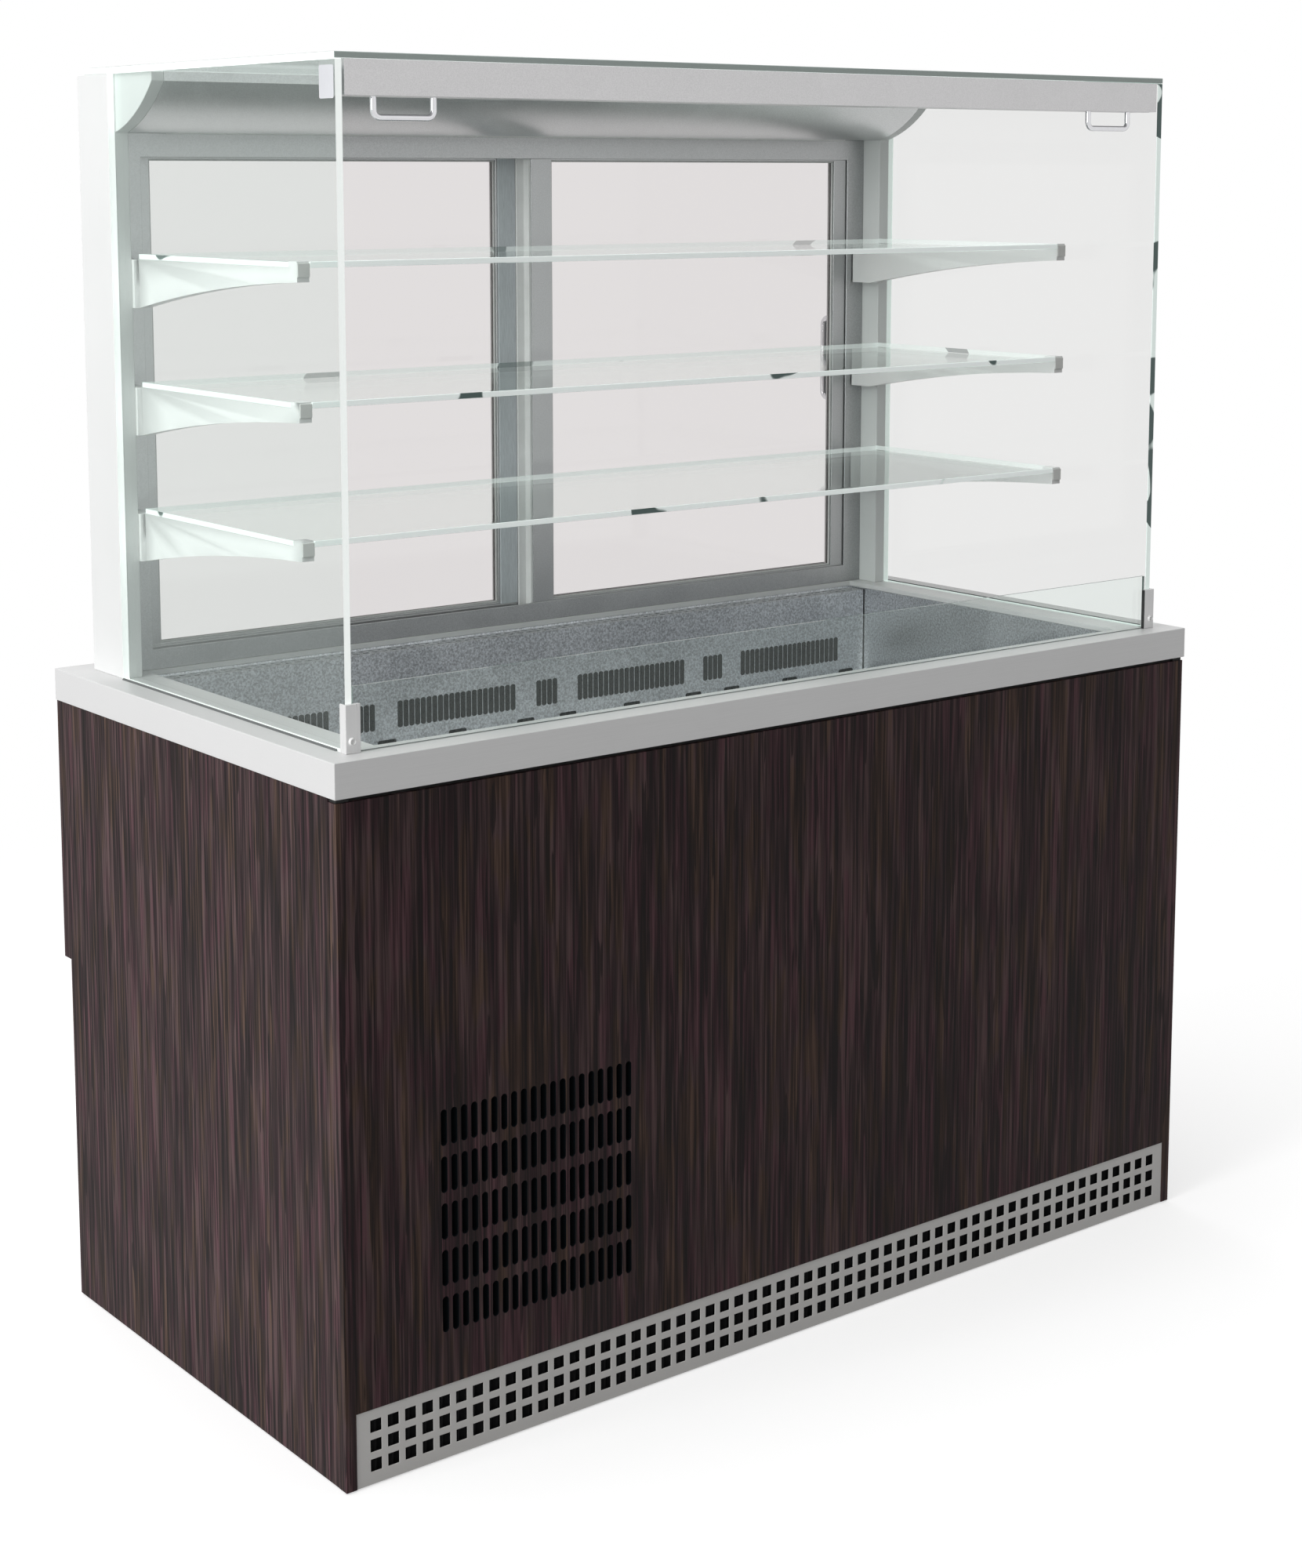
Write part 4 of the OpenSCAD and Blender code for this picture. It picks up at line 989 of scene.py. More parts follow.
    def screw(self, seat: Place, way: Place, radius: float, height: float, finish: int = 0) -> "Shape":
        """Adds a raised screw head with a socket.

        Args:
            seat: Middle of its seat.
            way: Direction that the head faces.
            radius: Radius of the head.
            height: Height of the head.
            finish: Number of its finish on the piece.

        Returns:
            This shape.
        """
        way = Vector(way).normalized()
        turn = way.to_track_quat("Z", "Y").to_matrix().to_4x4()
        place = Matrix.Translation((Vector(seat) + way * height / 2) * MM) @ turn
        verts = self._cone(place, radius, radius * HEAD_TAPER, height, HEAD_SIDES, finish)
        face = max({f for v in verts for f in v.link_faces}, key=lambda f: f.calc_center_median().dot(way))
        face.normal_update()
        bmesh.ops.inset_individual(self.mesh, faces=[face], thickness=radius * SOCKET_RIM * MM)
        bmesh.ops.translate(self.mesh, verts=face.verts, vec=-way * height * SOCKET_DEPTH * MM)
        return self

    @staticmethod
    def _paint(verts: list, finish: int) -> None:
        """Gives the faces of some vertices a finish."""
        for face in {face for vert in verts for face in vert.link_faces}:
            face.material_index = finish

    def rim(self, finish: int, widest: float) -> "Shape":
        """Gives every face narrower than a width the rim finish.

        Args:
            finish: Number of the rim finish on the piece.
            widest: The width below which a face is a rim.

        Returns:
            This shape.
        """
        for face in self.mesh.faces:
            spans = [max(v.co[i] for v in face.verts) - min(v.co[i] for v in face.verts) for i in range(3)]
            if sorted(spans)[1] < widest * MM:
                face.material_index = finish
        return self

    def facing(self, finish: int, old: int, way: Place) -> "Shape":
        """Gives the faces of one finish that look in a direction another finish.

        Args:
            finish: Number of the new finish on the piece.
            old: Number of the finish that they have.
            way: The direction.

        Returns:
            This shape.
        """
        self.mesh.normal_update()
        for face in self.mesh.faces:
            if face.material_index == old and face.normal.dot(Vector(way)) > FACING_COSINE:
                face.material_index = finish
        return self

    def walls(self, widest: float) -> "Shape":
        """Gives the walls of the holes in an upright sheet the second finish.

        Args:
            widest: The width below which a face is a wall.

        Returns:
            This shape.
        """
        return self.rim(1, widest).facing(0, 1, (0, -1, 0)).facing(0, 1, (0, 1, 0))

    def widen(self, share: float, widest: float) -> "Shape":
        """Opens the small holes whose walls have the second finish.

        Args:
            share: Share of its width by which a hole grows along x.
            widest: The width below which a hole is small.

        Returns:
            This shape.
        """
        left = {face for face in self.mesh.faces if face.material_index == 1}
        while left:
            reach, corners = [left.pop()], set()
            while reach:
                face = reach.pop()
                corners.update(face.verts)
                near = {other for edge in face.edges for other in edge.link_faces} & left
                left -= near
                reach.extend(near)
            low, high = min(v.co.x for v in corners), max(v.co.x for v in corners)
            for corner in corners if high - low < widest * MM else ():
                corner.co.x += (corner.co.x - (low + high) / 2) * share
        return self

    def shrink(self, margins: Place) -> "Shape":
        """Draws every side in, so that the piece stays clear of what it is set in.

        Args:
            margins: Distance along x, y and z.

        Returns:
            This shape.
        """
        corners = [[pick(v.co[axis] for v in self.mesh.verts) for axis in range(3)] for pick in (min, max)]
        low, high = (Vector(corner) for corner in corners)
        scale = [1 - 2 * margin * MM / span for margin, span in zip(margins, high - low)]
        middle = Matrix.Translation(-(low + high) / 2)
        bmesh.ops.scale(self.mesh, verts=self.mesh.verts, vec=scale, space=middle)
        return self

    def soften(self, width: float, steps: int = 2, sharp: float = 30.0) -> "Shape":
        """Rounds the sharp edges.

        Args:
            width: Width of the rounding.
            steps: Number of its steps.
            sharp: Least angle in degrees of an edge that is rounded.

        Returns:
            This shape.
        """
        edges = [e for e in self.mesh.edges if e.is_manifold and e.calc_face_angle(0) > math.radians(sharp)]
        bmesh.ops.bevel(
            self.mesh, geom=edges, offset=width * MM, segments=steps, profile=0.5, affect="EDGES",
            material=-1, clamp_overlap=True,
        )
        return self

    def mirrored(self) -> "Shape":
        """Adds the same shape on the other side of the middle.

        Returns:
            This shape.
        """
        everything = self.mesh.faces[:] + self.mesh.edges[:] + self.mesh.verts[:]
        bmesh.ops.mirror(self.mesh, geom=everything, axis="X", merge_dist=-1)
        bmesh.ops.recalc_face_normals(self.mesh, faces=self.mesh.faces)
        return self

    def piece(self, name: str, body: str, finishes: list[Finish], slot: str | None = None,
              replaces: tuple[str, ...] = (), smooth: float = 35.0) -> bpy.types.Object:
        """Turns the shape into a dressed piece that rides on a body.

        Args:
            name: Name of the piece.
            body: Name of the CAD body that carries it.
            finishes: Its finishes, in the order of their numbers.
            slot: Not used.
            replaces: The CAD nodes that it stands for.
            smooth: Greatest angle in degrees that is shaded smooth.

        Returns:
            The new object.
        """
        data = bpy.data.meshes.new(name)
        self.mesh.to_mesh(data)
        self.mesh.free()
        for finish in finishes:
            data.materials.append(finish.material())
        data.shade_smooth()
        data.set_sharp_from_angle(angle=math.radians(smooth))
        made = bpy.data.objects.new(name, data)
        bpy.context.scene.collection.objects.link(made)
        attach(made, body)
        if replaces:
            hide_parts(*replaces)
        made.modifiers.new("flat_faces", "WEIGHTED_NORMAL").keep_sharp = True
        LOG.info("%s: %d faces on %s", name, len(data.polygons), body)
        return made


class Rod(Shape):
    """A round bar drawn along straight runs and bends."""

    def __init__(self, start: Place, way: Place, radius: float, sides: int) -> None:
        """Starts the bar with its end face.

        Args:
            start: Middle of the first end.
            way: Direction in which it sets out.
            radius: Radius of the bar.
            sides: Number of its sides.
        """
        super().__init__()
        self.tip = Vector(start) * MM
        self.way = Vector(way).normalized()
        place = Matrix.Translation(self.tip) @ self.way.to_track_quat("Z", "Y").to_matrix().to_4x4()
        bmesh.ops.create_circle(self.mesh, cap_ends=True, segments=sides, radius=radius * MM, matrix=place)
        self.ring = self.mesh.edges[:]

    def run(self, length: float) -> "Rod":
        """Carries the bar straight on.

        Args:
            length: Length of the run.

        Returns:
            This bar.
        """
        self.ring, _ = self.carry(self.ring, self.way * length * MM)
        self.tip += self.way * length * MM
        return self

    def bend(self, towards: Place, radius: float) -> "Rod":
        """Bends the bar by a quarter turn.

        Args:
            towards: Direction of the bend's centre, square to the bar.
            radius: Radius of the bend.

        Returns:
            This bar.
        """
        side = Vector(towards).normalized()
        centre = self.tip + side * radius * MM
        axis = self.way.cross(side)
        made = bmesh.ops.spin(
            self.mesh, geom=self.ring, cent=centre, axis=axis, dvec=(0, 0, 0), angle=math.pi / 2,
            steps=BEND_STEPS,
        )["geom_last"]
        self.ring = [edge for edge in only(BMEdge, made) if len(edge.link_faces) == 1]
        turn = Matrix.Rotation(math.pi / 2, 3, axis)
        self.tip = centre + turn @ (self.tip - centre)
        self.way = turn @ self.way
        return self

    def close(self) -> "Rod":
        """Caps the open end and points the faces outwards.

        Returns:
            This bar.
        """
        bmesh.ops.contextual_create(self.mesh, geom=self.ring)
        bmesh.ops.recalc_face_normals(self.mesh, faces=self.mesh.faces)
        return self


def dress(node: str, finish: Finish) -> None:
    """Gives a CAD node its finish.

    Args:
        node: Name of the CAD node.
        finish: Its finish.
    """
    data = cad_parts[node].data
    data.materials.clear()
    data.materials.append(finish.material())


def softened(node: str, body: str, width: float, finishes: list[Finish], slot: str,
             rim: float | None = None, steps: int = 2, margins: Place | None = None) -> bpy.types.Object:
    """Replaces a CAD node by a copy with rounded edges.

    Args:
        node: Name of the CAD node.
        body: Name of the body that carries it.
        width: Width of the rounding in millimetres.
        finishes: Its finishes.
        slot: The record's material slot.
        rim: Width in millimetres below which a face takes the second finish.
        steps: Number of steps of the rounding.
        margins: Distance in millimetres by which every side is drawn in.

    Returns:
        The new piece.
    """
    shape = Shape.of_node(node)
    if margins:
        shape.shrink(margins)
    if rim:
        shape.rim(1, rim)
    return shape.soften(width, steps).piece(f"{node}_dressed", body, finishes, slot, (node,))


def smoothed(node: str, body: str, finish: Finish, slot: str, angle: float = 35.0) -> bpy.types.Object:
    """Replaces a CAD node by a merged copy whose round faces are shaded smooth.

    Args:
        node: Name of the CAD node.
        body: Name of the body that carries it.
        finish: Its finish.
        slot: The record's material slot.
        angle: Greatest angle in degrees that is shaded smooth.

    Returns:
        The new piece.
    """
    return Shape.of_node(node).piece(f"{node}_dressed", body, [finish], slot, (node,), angle)


# ---- Sub-assemblies ----
# Their sizes and places are in millimetres, and their angles in degrees.


@dataclass
class Cabinet:
    """The laminate cabinet on its base, with the plinth grille, the front vent and their filter mats."""

    edge: float = 0.8
    fine_edge: float = 0.5
    board: float = 19.0  # a slot's wall is narrower
    slot: float = 70.0  # and shorter
    fold: float = 12.0
    mat: float = 0.5
    plinth_mat: tuple = ((-719.0, -366.0, 4.5), (719.0, -360.5, 95.5))
    vent_mat: tuple = ((-606.0, -351.0, 152.0), (-298.0, -346.0, 478.0))
    stop: tuple = ((719.0, -368.0, 851.2), (736.5, -351.0, 856.0))

    def build(self) -> None:
        """Builds and dresses every piece of the cabinet."""
        for node in ("left_side_panel", "right_side_panel"):
            softened(node, "case", self.edge, [WOOD], "wood_laminate")
        self._front()
        softened("plinth_grille", "case", self.fine_edge, [GRILLE_PAINT], "grille_paint")
        smoothed("levelling_feet", "case", BLACK_PLASTIC, "black_plastic")
        dress("cabinet_frame", BLACK_ENAMEL)
        dress("gap_seal", RUBBER)
        # the filter mats are near black: painted shade behind the grille and vent holes
        for name, corners in (("plinth_filter", self.plinth_mat), ("vent_filter", self.vent_mat)):
            Shape().pleats(*corners, self.fold, self.mat).piece(name, "case", [SHADE_DARK_FILTER])
        Shape().block(*self.stop).soften(self.fine_edge).mirrored().piece("corner_stops", "case", [RUBBER])

    def _front(self) -> None:
        """Dresses the front board, whose short slot walls are near black as painted shade and whose long
        edges are laminate.
        """
        board = Shape.of_node("front_panel").walls(self.board)
        for face in board.mesh.faces:
            longest = max((one.co - other.co).length for one in face.verts for other in face.verts)
            if longest > self.slot * MM:
                face.material_index = 0
        board.soften(self.fine_edge)
        board.piece("front_panel_dressed", "case", [WOOD, PAINTED_SHADE_MAT], "wood_laminate", ("front_panel",))


@dataclass
class Counter:
    """The steel worktop and the chilled well with its duct panel and deck."""

    edge: float = 1.2
    deck_edge: float = 0.6
    duct_mat: tuple = ((-644.0, 243.6, 748.0), (644.0, 247.6, 858.0))
    fold: float = 10.0
    mat: float = 0.5
    slot_wall: float = 3.0  # a slot's wall is narrower
    slot_top: float = 860.0  # and lower
    slot_growth: float = 0.38  # share of a slot's width
    slot_width: float = 9.0  # a slot is narrower, and other openings are wider
    bead: float = 2.4
    bead_hollow: float = 0.4
    bead_run: tuple = (-316.0, 239.0)
    pane_edge: float = 702.0
    worktop: float = 900.0

    def build(self) -> None:
        """Builds and dresses every piece of the counter."""
        softened("worktop", "case", self.edge, [WORKTOP_STEEL], "satin_steel")
        dress("well_liner", WELL_STEEL)
        dress("well_insulation", FOAM)
        self._duct()
        softened("deck_plates", "case", self.deck_edge, [WELL_STEEL], "liner_steel")
        # the duct filter behind the slots is near black as painted shade
        Shape().pleats(*self.duct_mat, self.fold, self.mat).piece("duct_filter", "case", [PAINTED_SHADE_MAT])
        self._beads()

    def _duct(self) -> None:
        """Dresses the duct panel, with its slot walls near black as painted shade and the slots a little
        wider.
        """
        panel = Shape.of_node("duct_panel").walls(self.slot_wall)
        for face in panel.mesh.faces:
            if face.calc_center_median().z > self.slot_top * MM:
                face.material_index = 0
        panel.widen(self.slot_growth, self.slot_width)
        panel.piece("duct_panel_dressed", "case", [WELL_STEEL, PAINTED_SHADE_MAT], "liner_steel", ("duct_panel",))

    def _beads(self) -> None:
        """Lays a seal bead along the foot of each side glass."""
        front, rear = self.bead_run
        hollow = self.bead * self.bead_hollow
        corners = [(0.0, 0.0), (self.bead, 0.0), (hollow, hollow), (0.0, self.bead)]
        outline = [(self.pane_edge + out, front, self.worktop + up) for out, up in corners]
        beads = Shape().sweep(outline, (0, rear - front, 0))
        beads.mirrored().piece("glass_beads", "case", [SILICONE])


@dataclass
class Plant:
    """The cooling plant under and inside the well."""

    pipe_angle: float = 50.0
    shell_angle: float = 40.0

    def build(self) -> None:
        """Dresses the pieces of the plant."""
        dress("evaporator_coil", FIN_ALUMINIUM)
        dress("fan_plate", GALVANISED)
        for node in ("left_evaporator_fan", "right_evaporator_fan"):
            smoothed(node, node, BLACK_PLASTIC, "black_plastic")
        smoothed("drain_pipe", "case", PIPE_PLASTIC, "pipe_plastic")
        smoothed("compressor", "case", BLACK_ENAMEL, "black_enamel", self.shell_angle)
        dress("condenser_coil", DARK_FINS)
        dress("fan_shroud", GALVANISED)
        smoothed("condenser_fan", "condenser_fan", FIN_ALUMINIUM, "fin_aluminium")
        smoothed("refrigerant_pipes", "case", COPPER, "copper", self.pipe_angle)


@dataclass
class RearSide:
    """The rear fascia with its controls and the plant doors."""

    sheet_edge: float = 0.7
    panel_edge: float = 0.6
    button_edge: float = 0.5
    switch_edge: float = 0.4
    handle_edge: float = 1.2
    face: float = 366.0
    panel_face: float = 369.0
    fascia_screws: tuple = ((30.0, 360.0, 700.0), (508.0, 838.0))
    fascia_screw: tuple = (4.5, 2.2)  # radius and height of a head
    panel_screws: tuple = ((343.0, 557.0), (646.0, 694.0))
    panel_screw: tuple = (2.6, 1.2)
    window: tuple = ((485.0, 367.0, 655.0), (547.0, 369.8, 685.0))
    digits: tuple = ((0.68, "abcdef"), (0.32, "bcfg"))  # place on the window and lit bars
    digit_size: tuple = (13.0, 21.0)
    digit_bar: float = 2.2
    bar_gap: float = 1.2  # in half widths of a bar
    digit_height: float = 0.3
    window_edge: float = 1.0

    def build(self) -> None:
        """Builds and dresses the rear side."""
        softened("rear_fascia", "case", self.sheet_edge, [GREY_PAINT], "grey_paint")
        softened("control_panel", "case", self.panel_edge, [BLACK_PLASTIC], "black_plastic")
        for node in ("set_button", "up_button", "down_button"):
            softened(node, node, self.button_edge, [BUTTON_PLASTIC], "button_plastic")
        for node in ("main_switch", "light_switch"):
            softened(node, node, self.switch_edge, [SWITCH_PLASTIC], "switch_plastic")
        for side in ("left", "right"):
            body = f"{side}_plant_door"
            softened(body, body, self.panel_edge, [GREY_PAINT], "grey_paint")
            softened(f"{side}_plant_handle", body, self.handle_edge, [CHROME], "chrome")
        dress("plant_door_pivots", GALVANISED)
        fascia = self._screws(self.fascia_screws, self.face, self.fascia_screw)
        fascia.mirrored().piece("fascia_screws", "case", [SCREW_STEEL])
        panel = self._screws(self.panel_screws, self.panel_face, self.panel_screw)
        panel.piece("panel_screws", "case", [SCREW_STEEL])
        self._display()

    @staticmethod
    def _screws(places: tuple, face: float, size: tuple) -> Shape:
        """Sets rows of screws in an upright face that looks backwards.

        Args:
            places: The columns' places in x and the rows' places in z.
            face: Place of the face in y.
            size: Radius and height of a head.

        Returns:
            The screws.
        """
        screws = Shape()
        for x in places[0]:
            for z in places[1]:
                screws.screw((x, face, z), (0, 1, 0), *size)
        return screws

    def _display(self) -> None:
        """Puts the lens and the two lit digits, 0 and 4, on the control panel."""
        Shape().block(*self.window).soften(self.window_edge).piece("display_window", "case", [DISPLAY])
        digits = Shape()
        (x0, _, z0), (x1, _, z1) = self.window
        for share, lit in self.digits:
            self._digit(digits, x0 + share * (x1 - x0), (z0 + z1) / 2, lit)
        digits.piece("display_digits", "case", [DARK_SEGMENT, RED_GLOW])

    def _digit(self, shape: Shape, x: float, z: float, lit: str) -> None:
        """Adds the seven bars of one digit, read from behind the counter.

        Args:
            shape: The shape that takes the bars.
            x: Middle of the digit across.
            z: Middle of the digit in height.
            lit: Letters of the lit bars, from a at the top round to f, with g in the middle.
        """
        wide, high, bar = self.digit_size[0] / 2, self.digit_size[1] / 2, self.digit_bar / 2
        flat, upright = (wide - 2 * bar, bar), (bar, high / 2 - self.bar_gap * bar)
        bars = {
            "a": (0.0, high, flat), "g": (0.0, 0.0, flat), "d": (0.0, -high, flat),
            "b": (-wide, high / 2, upright), "c": (-wide, -high / 2, upright),
            "e": (wide, -high / 2, upright), "f": (wide, high / 2, upright),
        }
        for letter, (side, up, half) in bars.items():
            self._bar(shape, (x + side, z + up), half, letter in lit)

    def _bar(self, shape: Shape, middle: tuple, half: tuple, lit: bool) -> None:
        """Adds one bar of a digit, with pointed ends.

        Args:
            shape: The shape that takes the bar.
            middle: Its middle in x and z.
            half: Half its size in x and z.
            lit: Whether it glows.
        """
        (x, z), (across, up) = middle, half
        tip = min(across, up)
        if across > up:
            outline = [(-across - tip, 0), (-across, tip), (across, tip), (across + tip, 0), (across, -tip),
                       (-across, -tip)]
        else:
            outline = [(0, -up - tip), (-tip, -up), (-tip, up), (0, up + tip), (tip, up), (tip, -up)]
        front = self.window[1][1]
        shape.sweep([(x + u, front, z + v) for u, v in outline], (0, self.digit_height, 0), int(lit))


@dataclass
class PostsAndCanopy:
    """The white flag posts and the curved canopy between them."""

    post_edge: float = 1.0
    light_edge: float = 0.8

    def build(self) -> None:
        """Builds and dresses the posts and the canopy."""
        for node in ("left_post", "right_post"):
            # the posts take the darker copy of the white enamel, painted shade
            softened(node, "case", self.post_edge, [SHADED_POST_ENAMEL], "white_enamel")
        smoothed("canopy", "case", CANOPY_STEEL, "polished_steel")
        softened("canopy_light", "case", self.light_edge, [DIFFUSER], "light_diffuser")


@dataclass
class SlidingDoors:
    """The rear door frame and its two sliding leaves."""

    edge: float = 0.8
    pane_edge: float = 0.2
    stile: float = 38.0
    rail: float = 22.0
    gasket: float = 3.0
    gasket_height: float = 2.5
    bend: float = 11.0
    foot: tuple = (8.5, 2.0)  # radius and height
    foot_taper: float = 0.86
    foot_sides: int = 32
    bar_sides: int = 24
    brush: tuple = (-40.0, -9.0)  # its ends in x
    brush_depth: float = 2.6
    brush_margin: float = 3.0
    brush_edge: float = 0.8
    seal: tuple = (-13.5, 292.5, 911.0, 1615.0)  # x of its end, y of its lip, z of its foot and top
    seal_margins: tuple = (0.8, 1.5)
    lip_foot: tuple = (4.0, 6.0)
    seal_edge: float = 0.6
    strip: float = 7.4
    strip_margin: float = 0.2
    pane_margins: tuple = (7.8, 0.15, 7.8)

    def build(self) -> None:
        """Builds and dresses the doors."""
        softened("door_frame", "case", self.edge, [ANODISED], "anodised_aluminium")
        for side in ("left", "right"):
            body = f"{side}_sliding_door"
            pane = f"{side}_door_glass"
            softened(body, body, self.edge, [ANODISED], "anodised_aluminium")
            softened(pane, body, self.pane_edge, [DOOR_GLASS], "clear_glass", None, 1, self.pane_margins)
            self._handle(side, body)
            self._gaskets(side, body)
            self._glazing(side, body)
        self._brush()
        self._seal()

    def _handle(self, side: str, body: str) -> None:
        """Bends the round bar of one leaf's handle and sets it on two feet.

        Args:
            side: Side of the leaf.
            body: Name of the leaf's body.
        """
        node = f"{side}_door_handle"
        low, high = box(node)
        radius = (high.x - low.x) / 2
        x = (low.x + high.x) / 2
        face, reach = low.y, high.y - radius - low.y
        foot, top = low.z + radius, high.z - radius
        bar = Rod((x, face, foot), (0, 1, 0), radius, self.bar_sides)
        bar.run(reach - self.bend).bend((0, 0, 1), self.bend).run(top - foot - 2 * self.bend)
        bar.bend((0, -1, 0), self.bend).run(reach - self.bend).close()
        for z in (foot, top):
            bar.disc((x, face, z), "y", *self.foot, self.foot_sides, 0, self.foot_taper)
        bar.piece(f"{node}_dressed", body, [CHROME], "chrome", (node,))

    def _gaskets(self, side: str, body: str) -> None:
        """Lines the glass opening of one leaf on both faces.

        Args:
            side: Side of the leaf.
            body: Name of the leaf's body.
        """
        (leaf_low, leaf_high), (pane_low, pane_high) = box(body), box(f"{side}_door_glass")
        x0, x1 = leaf_low.x + self.stile, leaf_high.x - self.stile
        z0, z1 = leaf_low.z + self.rail, leaf_high.z - self.rail
        gaskets = Shape()
        for near in (pane_low.y - self.gasket_height, pane_high.y):
            gaskets.surround((x0, near, z0), (x1, near + self.gasket_height, z1), self.gasket)
        gaskets.piece(f"{side}_door_gaskets", body, [GASKET])

    def _glazing(self, side: str, body: str) -> None:
        """Lines the groove round the pane of one leaf with a pale glazing strip.

        Args:
            side: Side of the leaf.
            body: Name of the leaf's body.
        """
        low, high = box(f"{side}_door_glass")
        clear = Vector((self.strip_margin,) * 3)
        strip = Shape().surround(low + clear, high - clear, self.strip)
        strip.piece(f"{side}_door_glazing_strip", body, [GLAZING])

    def _seal(self) -> None:
        """Clips the pale meeting seal, with its thin lip, on the end of the right leaf."""
        tip, lip, foot, top = self.seal
        low, high = box("right_sliding_door")
        end, front, rear = low.x, low.y + self.seal_margins[0], high.y - self.seal_margins[1]
        near, far = (end - out for out in self.lip_foot)
        outline = [(tip, lip), (tip, rear), (end, rear), (end, front), (near, front), (far, lip)]
        seal = Shape().sweep([(x, y, foot) for x, y in outline], (0, 0, top - foot))
        seal.soften(self.seal_edge).piece("meeting_seal", "right_sliding_door", [GLAZING])

    def _brush(self) -> None:
        """Sets the draught brush on the left leaf's meeting stile."""
        low, high = box("left_sliding_door")
        left, right = self.brush
        corner = (left, low.y - self.brush_depth, low.z + self.brush_margin)
        brush = Shape().block(corner, (right, low.y, high.z - self.brush_margin))
        # the brush's pale colour is painted light against the shade between the leaves
        brush.soften(self.brush_edge).piece("meeting_brush", "left_sliding_door", [BRUSH_WITH_PAINTED_LIGHT])


@dataclass
class GlassCase:
    """The side, top and low front glasses with their corner clips and a bare label."""

    outer: float = 704.5
    seat: tuple = (0.0, 0.25, 0.1)
    rim: float = 12.0
    edge: float = 0.7
    pane: float = 702.2
    low_pane: float = -334.2
    clip: tuple = (20.5, 14.0, 59.0)
    clip_edge: float = 0.6
    screw: tuple = (5.0, 3.0)  # radius and height of the head
    screw_place: tuple = (0.4, 15.0)  # share of the clip's width, and height
    front: float = -340.2
    worktop: float = 900.0
    label: tuple = ((-702.35, -332.0, 1661.0), (-702.0, -300.0, 1699.0))
    label_corner: float = 2.5

    def build(self) -> None:
        """Builds and dresses the panes, the clips and the label."""
        panes = {
            "left_side_glass": (CLEAR_GLASS, PAINTED_BRIGHT_EDGE, PAINTED_BRIGHT_EDGE),
            "right_side_glass": (SHADED_SIDE_GLASS, DASHED_EDGE, DASHED_EDGE),
            "top_glass": (CLEAR_GLASS, THIN_EDGE, PAINTED_BRIGHT_EDGE),
            "low_front_glass": (CLEAR_GLASS, PAINTED_DARK_EDGE, PAINTED_DARK_EDGE),
        }
        for node, finishes in panes.items():
            pane = Shape.of_node(node)
            if node != "top_glass":
                pane.shrink(self.seat)
            # rim faces that look towards -x, the side the light comes from, take the third finish: on the top
            # glass that is the brighter edge, painted light
            pane.rim(1, self.rim).facing(2, 1, (-1, 0, 0)).soften(self.edge, 1)
            pane.piece(f"{node}_dressed", "case", list(finishes), "clear_glass", (node,))
        self._clips()
        self._label()

    def _clips(self) -> None:
        """Builds the two corner clips with their screws."""
        width, depth, height = self.clip
        left, right, rear = self.outer - width, self.outer, self.front + depth
        outline = [
            (left, self.front), (right, self.front), (right, rear), (self.pane, rear),
            (self.pane, self.low_pane), (left, self.low_pane),
        ]
        clips = Shape().sweep([(x, y, self.worktop) for x, y in outline], (0, 0, height))
        clips.soften(self.clip_edge, 3).facing(2, 0, (-1, 0, 0))
        share, up = self.screw_place
        clips.screw((right - share * width, self.front, self.worktop + up), (0, -1, 0), *self.screw, 1)
        finishes = [CLIP_STEEL, WHITE_ENAMEL, BLACK_PLASTIC]
        clips.mirrored().piece("glass_clips_dressed", "case", finishes, "satin_steel", ("glass_clips",))

    def _label(self) -> None:
        """Sticks a bare label with rounded corners on the left glass."""
        label = Shape().block(*self.label)
        thickness = (self.label[1][0] - self.label[0][0]) * MM
        ends = ((edge, edge.verts[0].co - edge.verts[1].co) for edge in label.mesh.edges)
        corners = [edge for edge, along in ends if abs(along.x) > thickness / 2]
        bmesh.ops.bevel(
            label.mesh, geom=corners, offset=self.label_corner * MM, segments=4, profile=0.5,
            affect="EDGES", material=-1,
        )
        label.piece("blank_label", "case", [LABEL])


@dataclass
class Shelving:
    """The three glass shelves on their brackets."""

    edge: float = 0.6
    rim: float = 10.0
    margins: tuple = (0.0, 0.0, 0.2)

    def build(self) -> None:
        """Builds and dresses the shelves and brackets."""
        # the shelf rims take a glass edge whose glow is painted light and whose dashes are painted
        # reflections
        glass = [SHELF_GLASS, SHELF_EDGE]
        for node in ("bottom_shelf", "middle_shelf", "top_shelf"):
            softened(node, "case", self.edge, glass, "clear_glass", self.rim, 1, self.margins)
        softened("shelf_brackets", "case", self.edge, [WHITE_ENAMEL], "white_enamel")
        softened("bracket_end_caps", "case", self.edge, [GREY_PLASTIC], "grey_plastic")


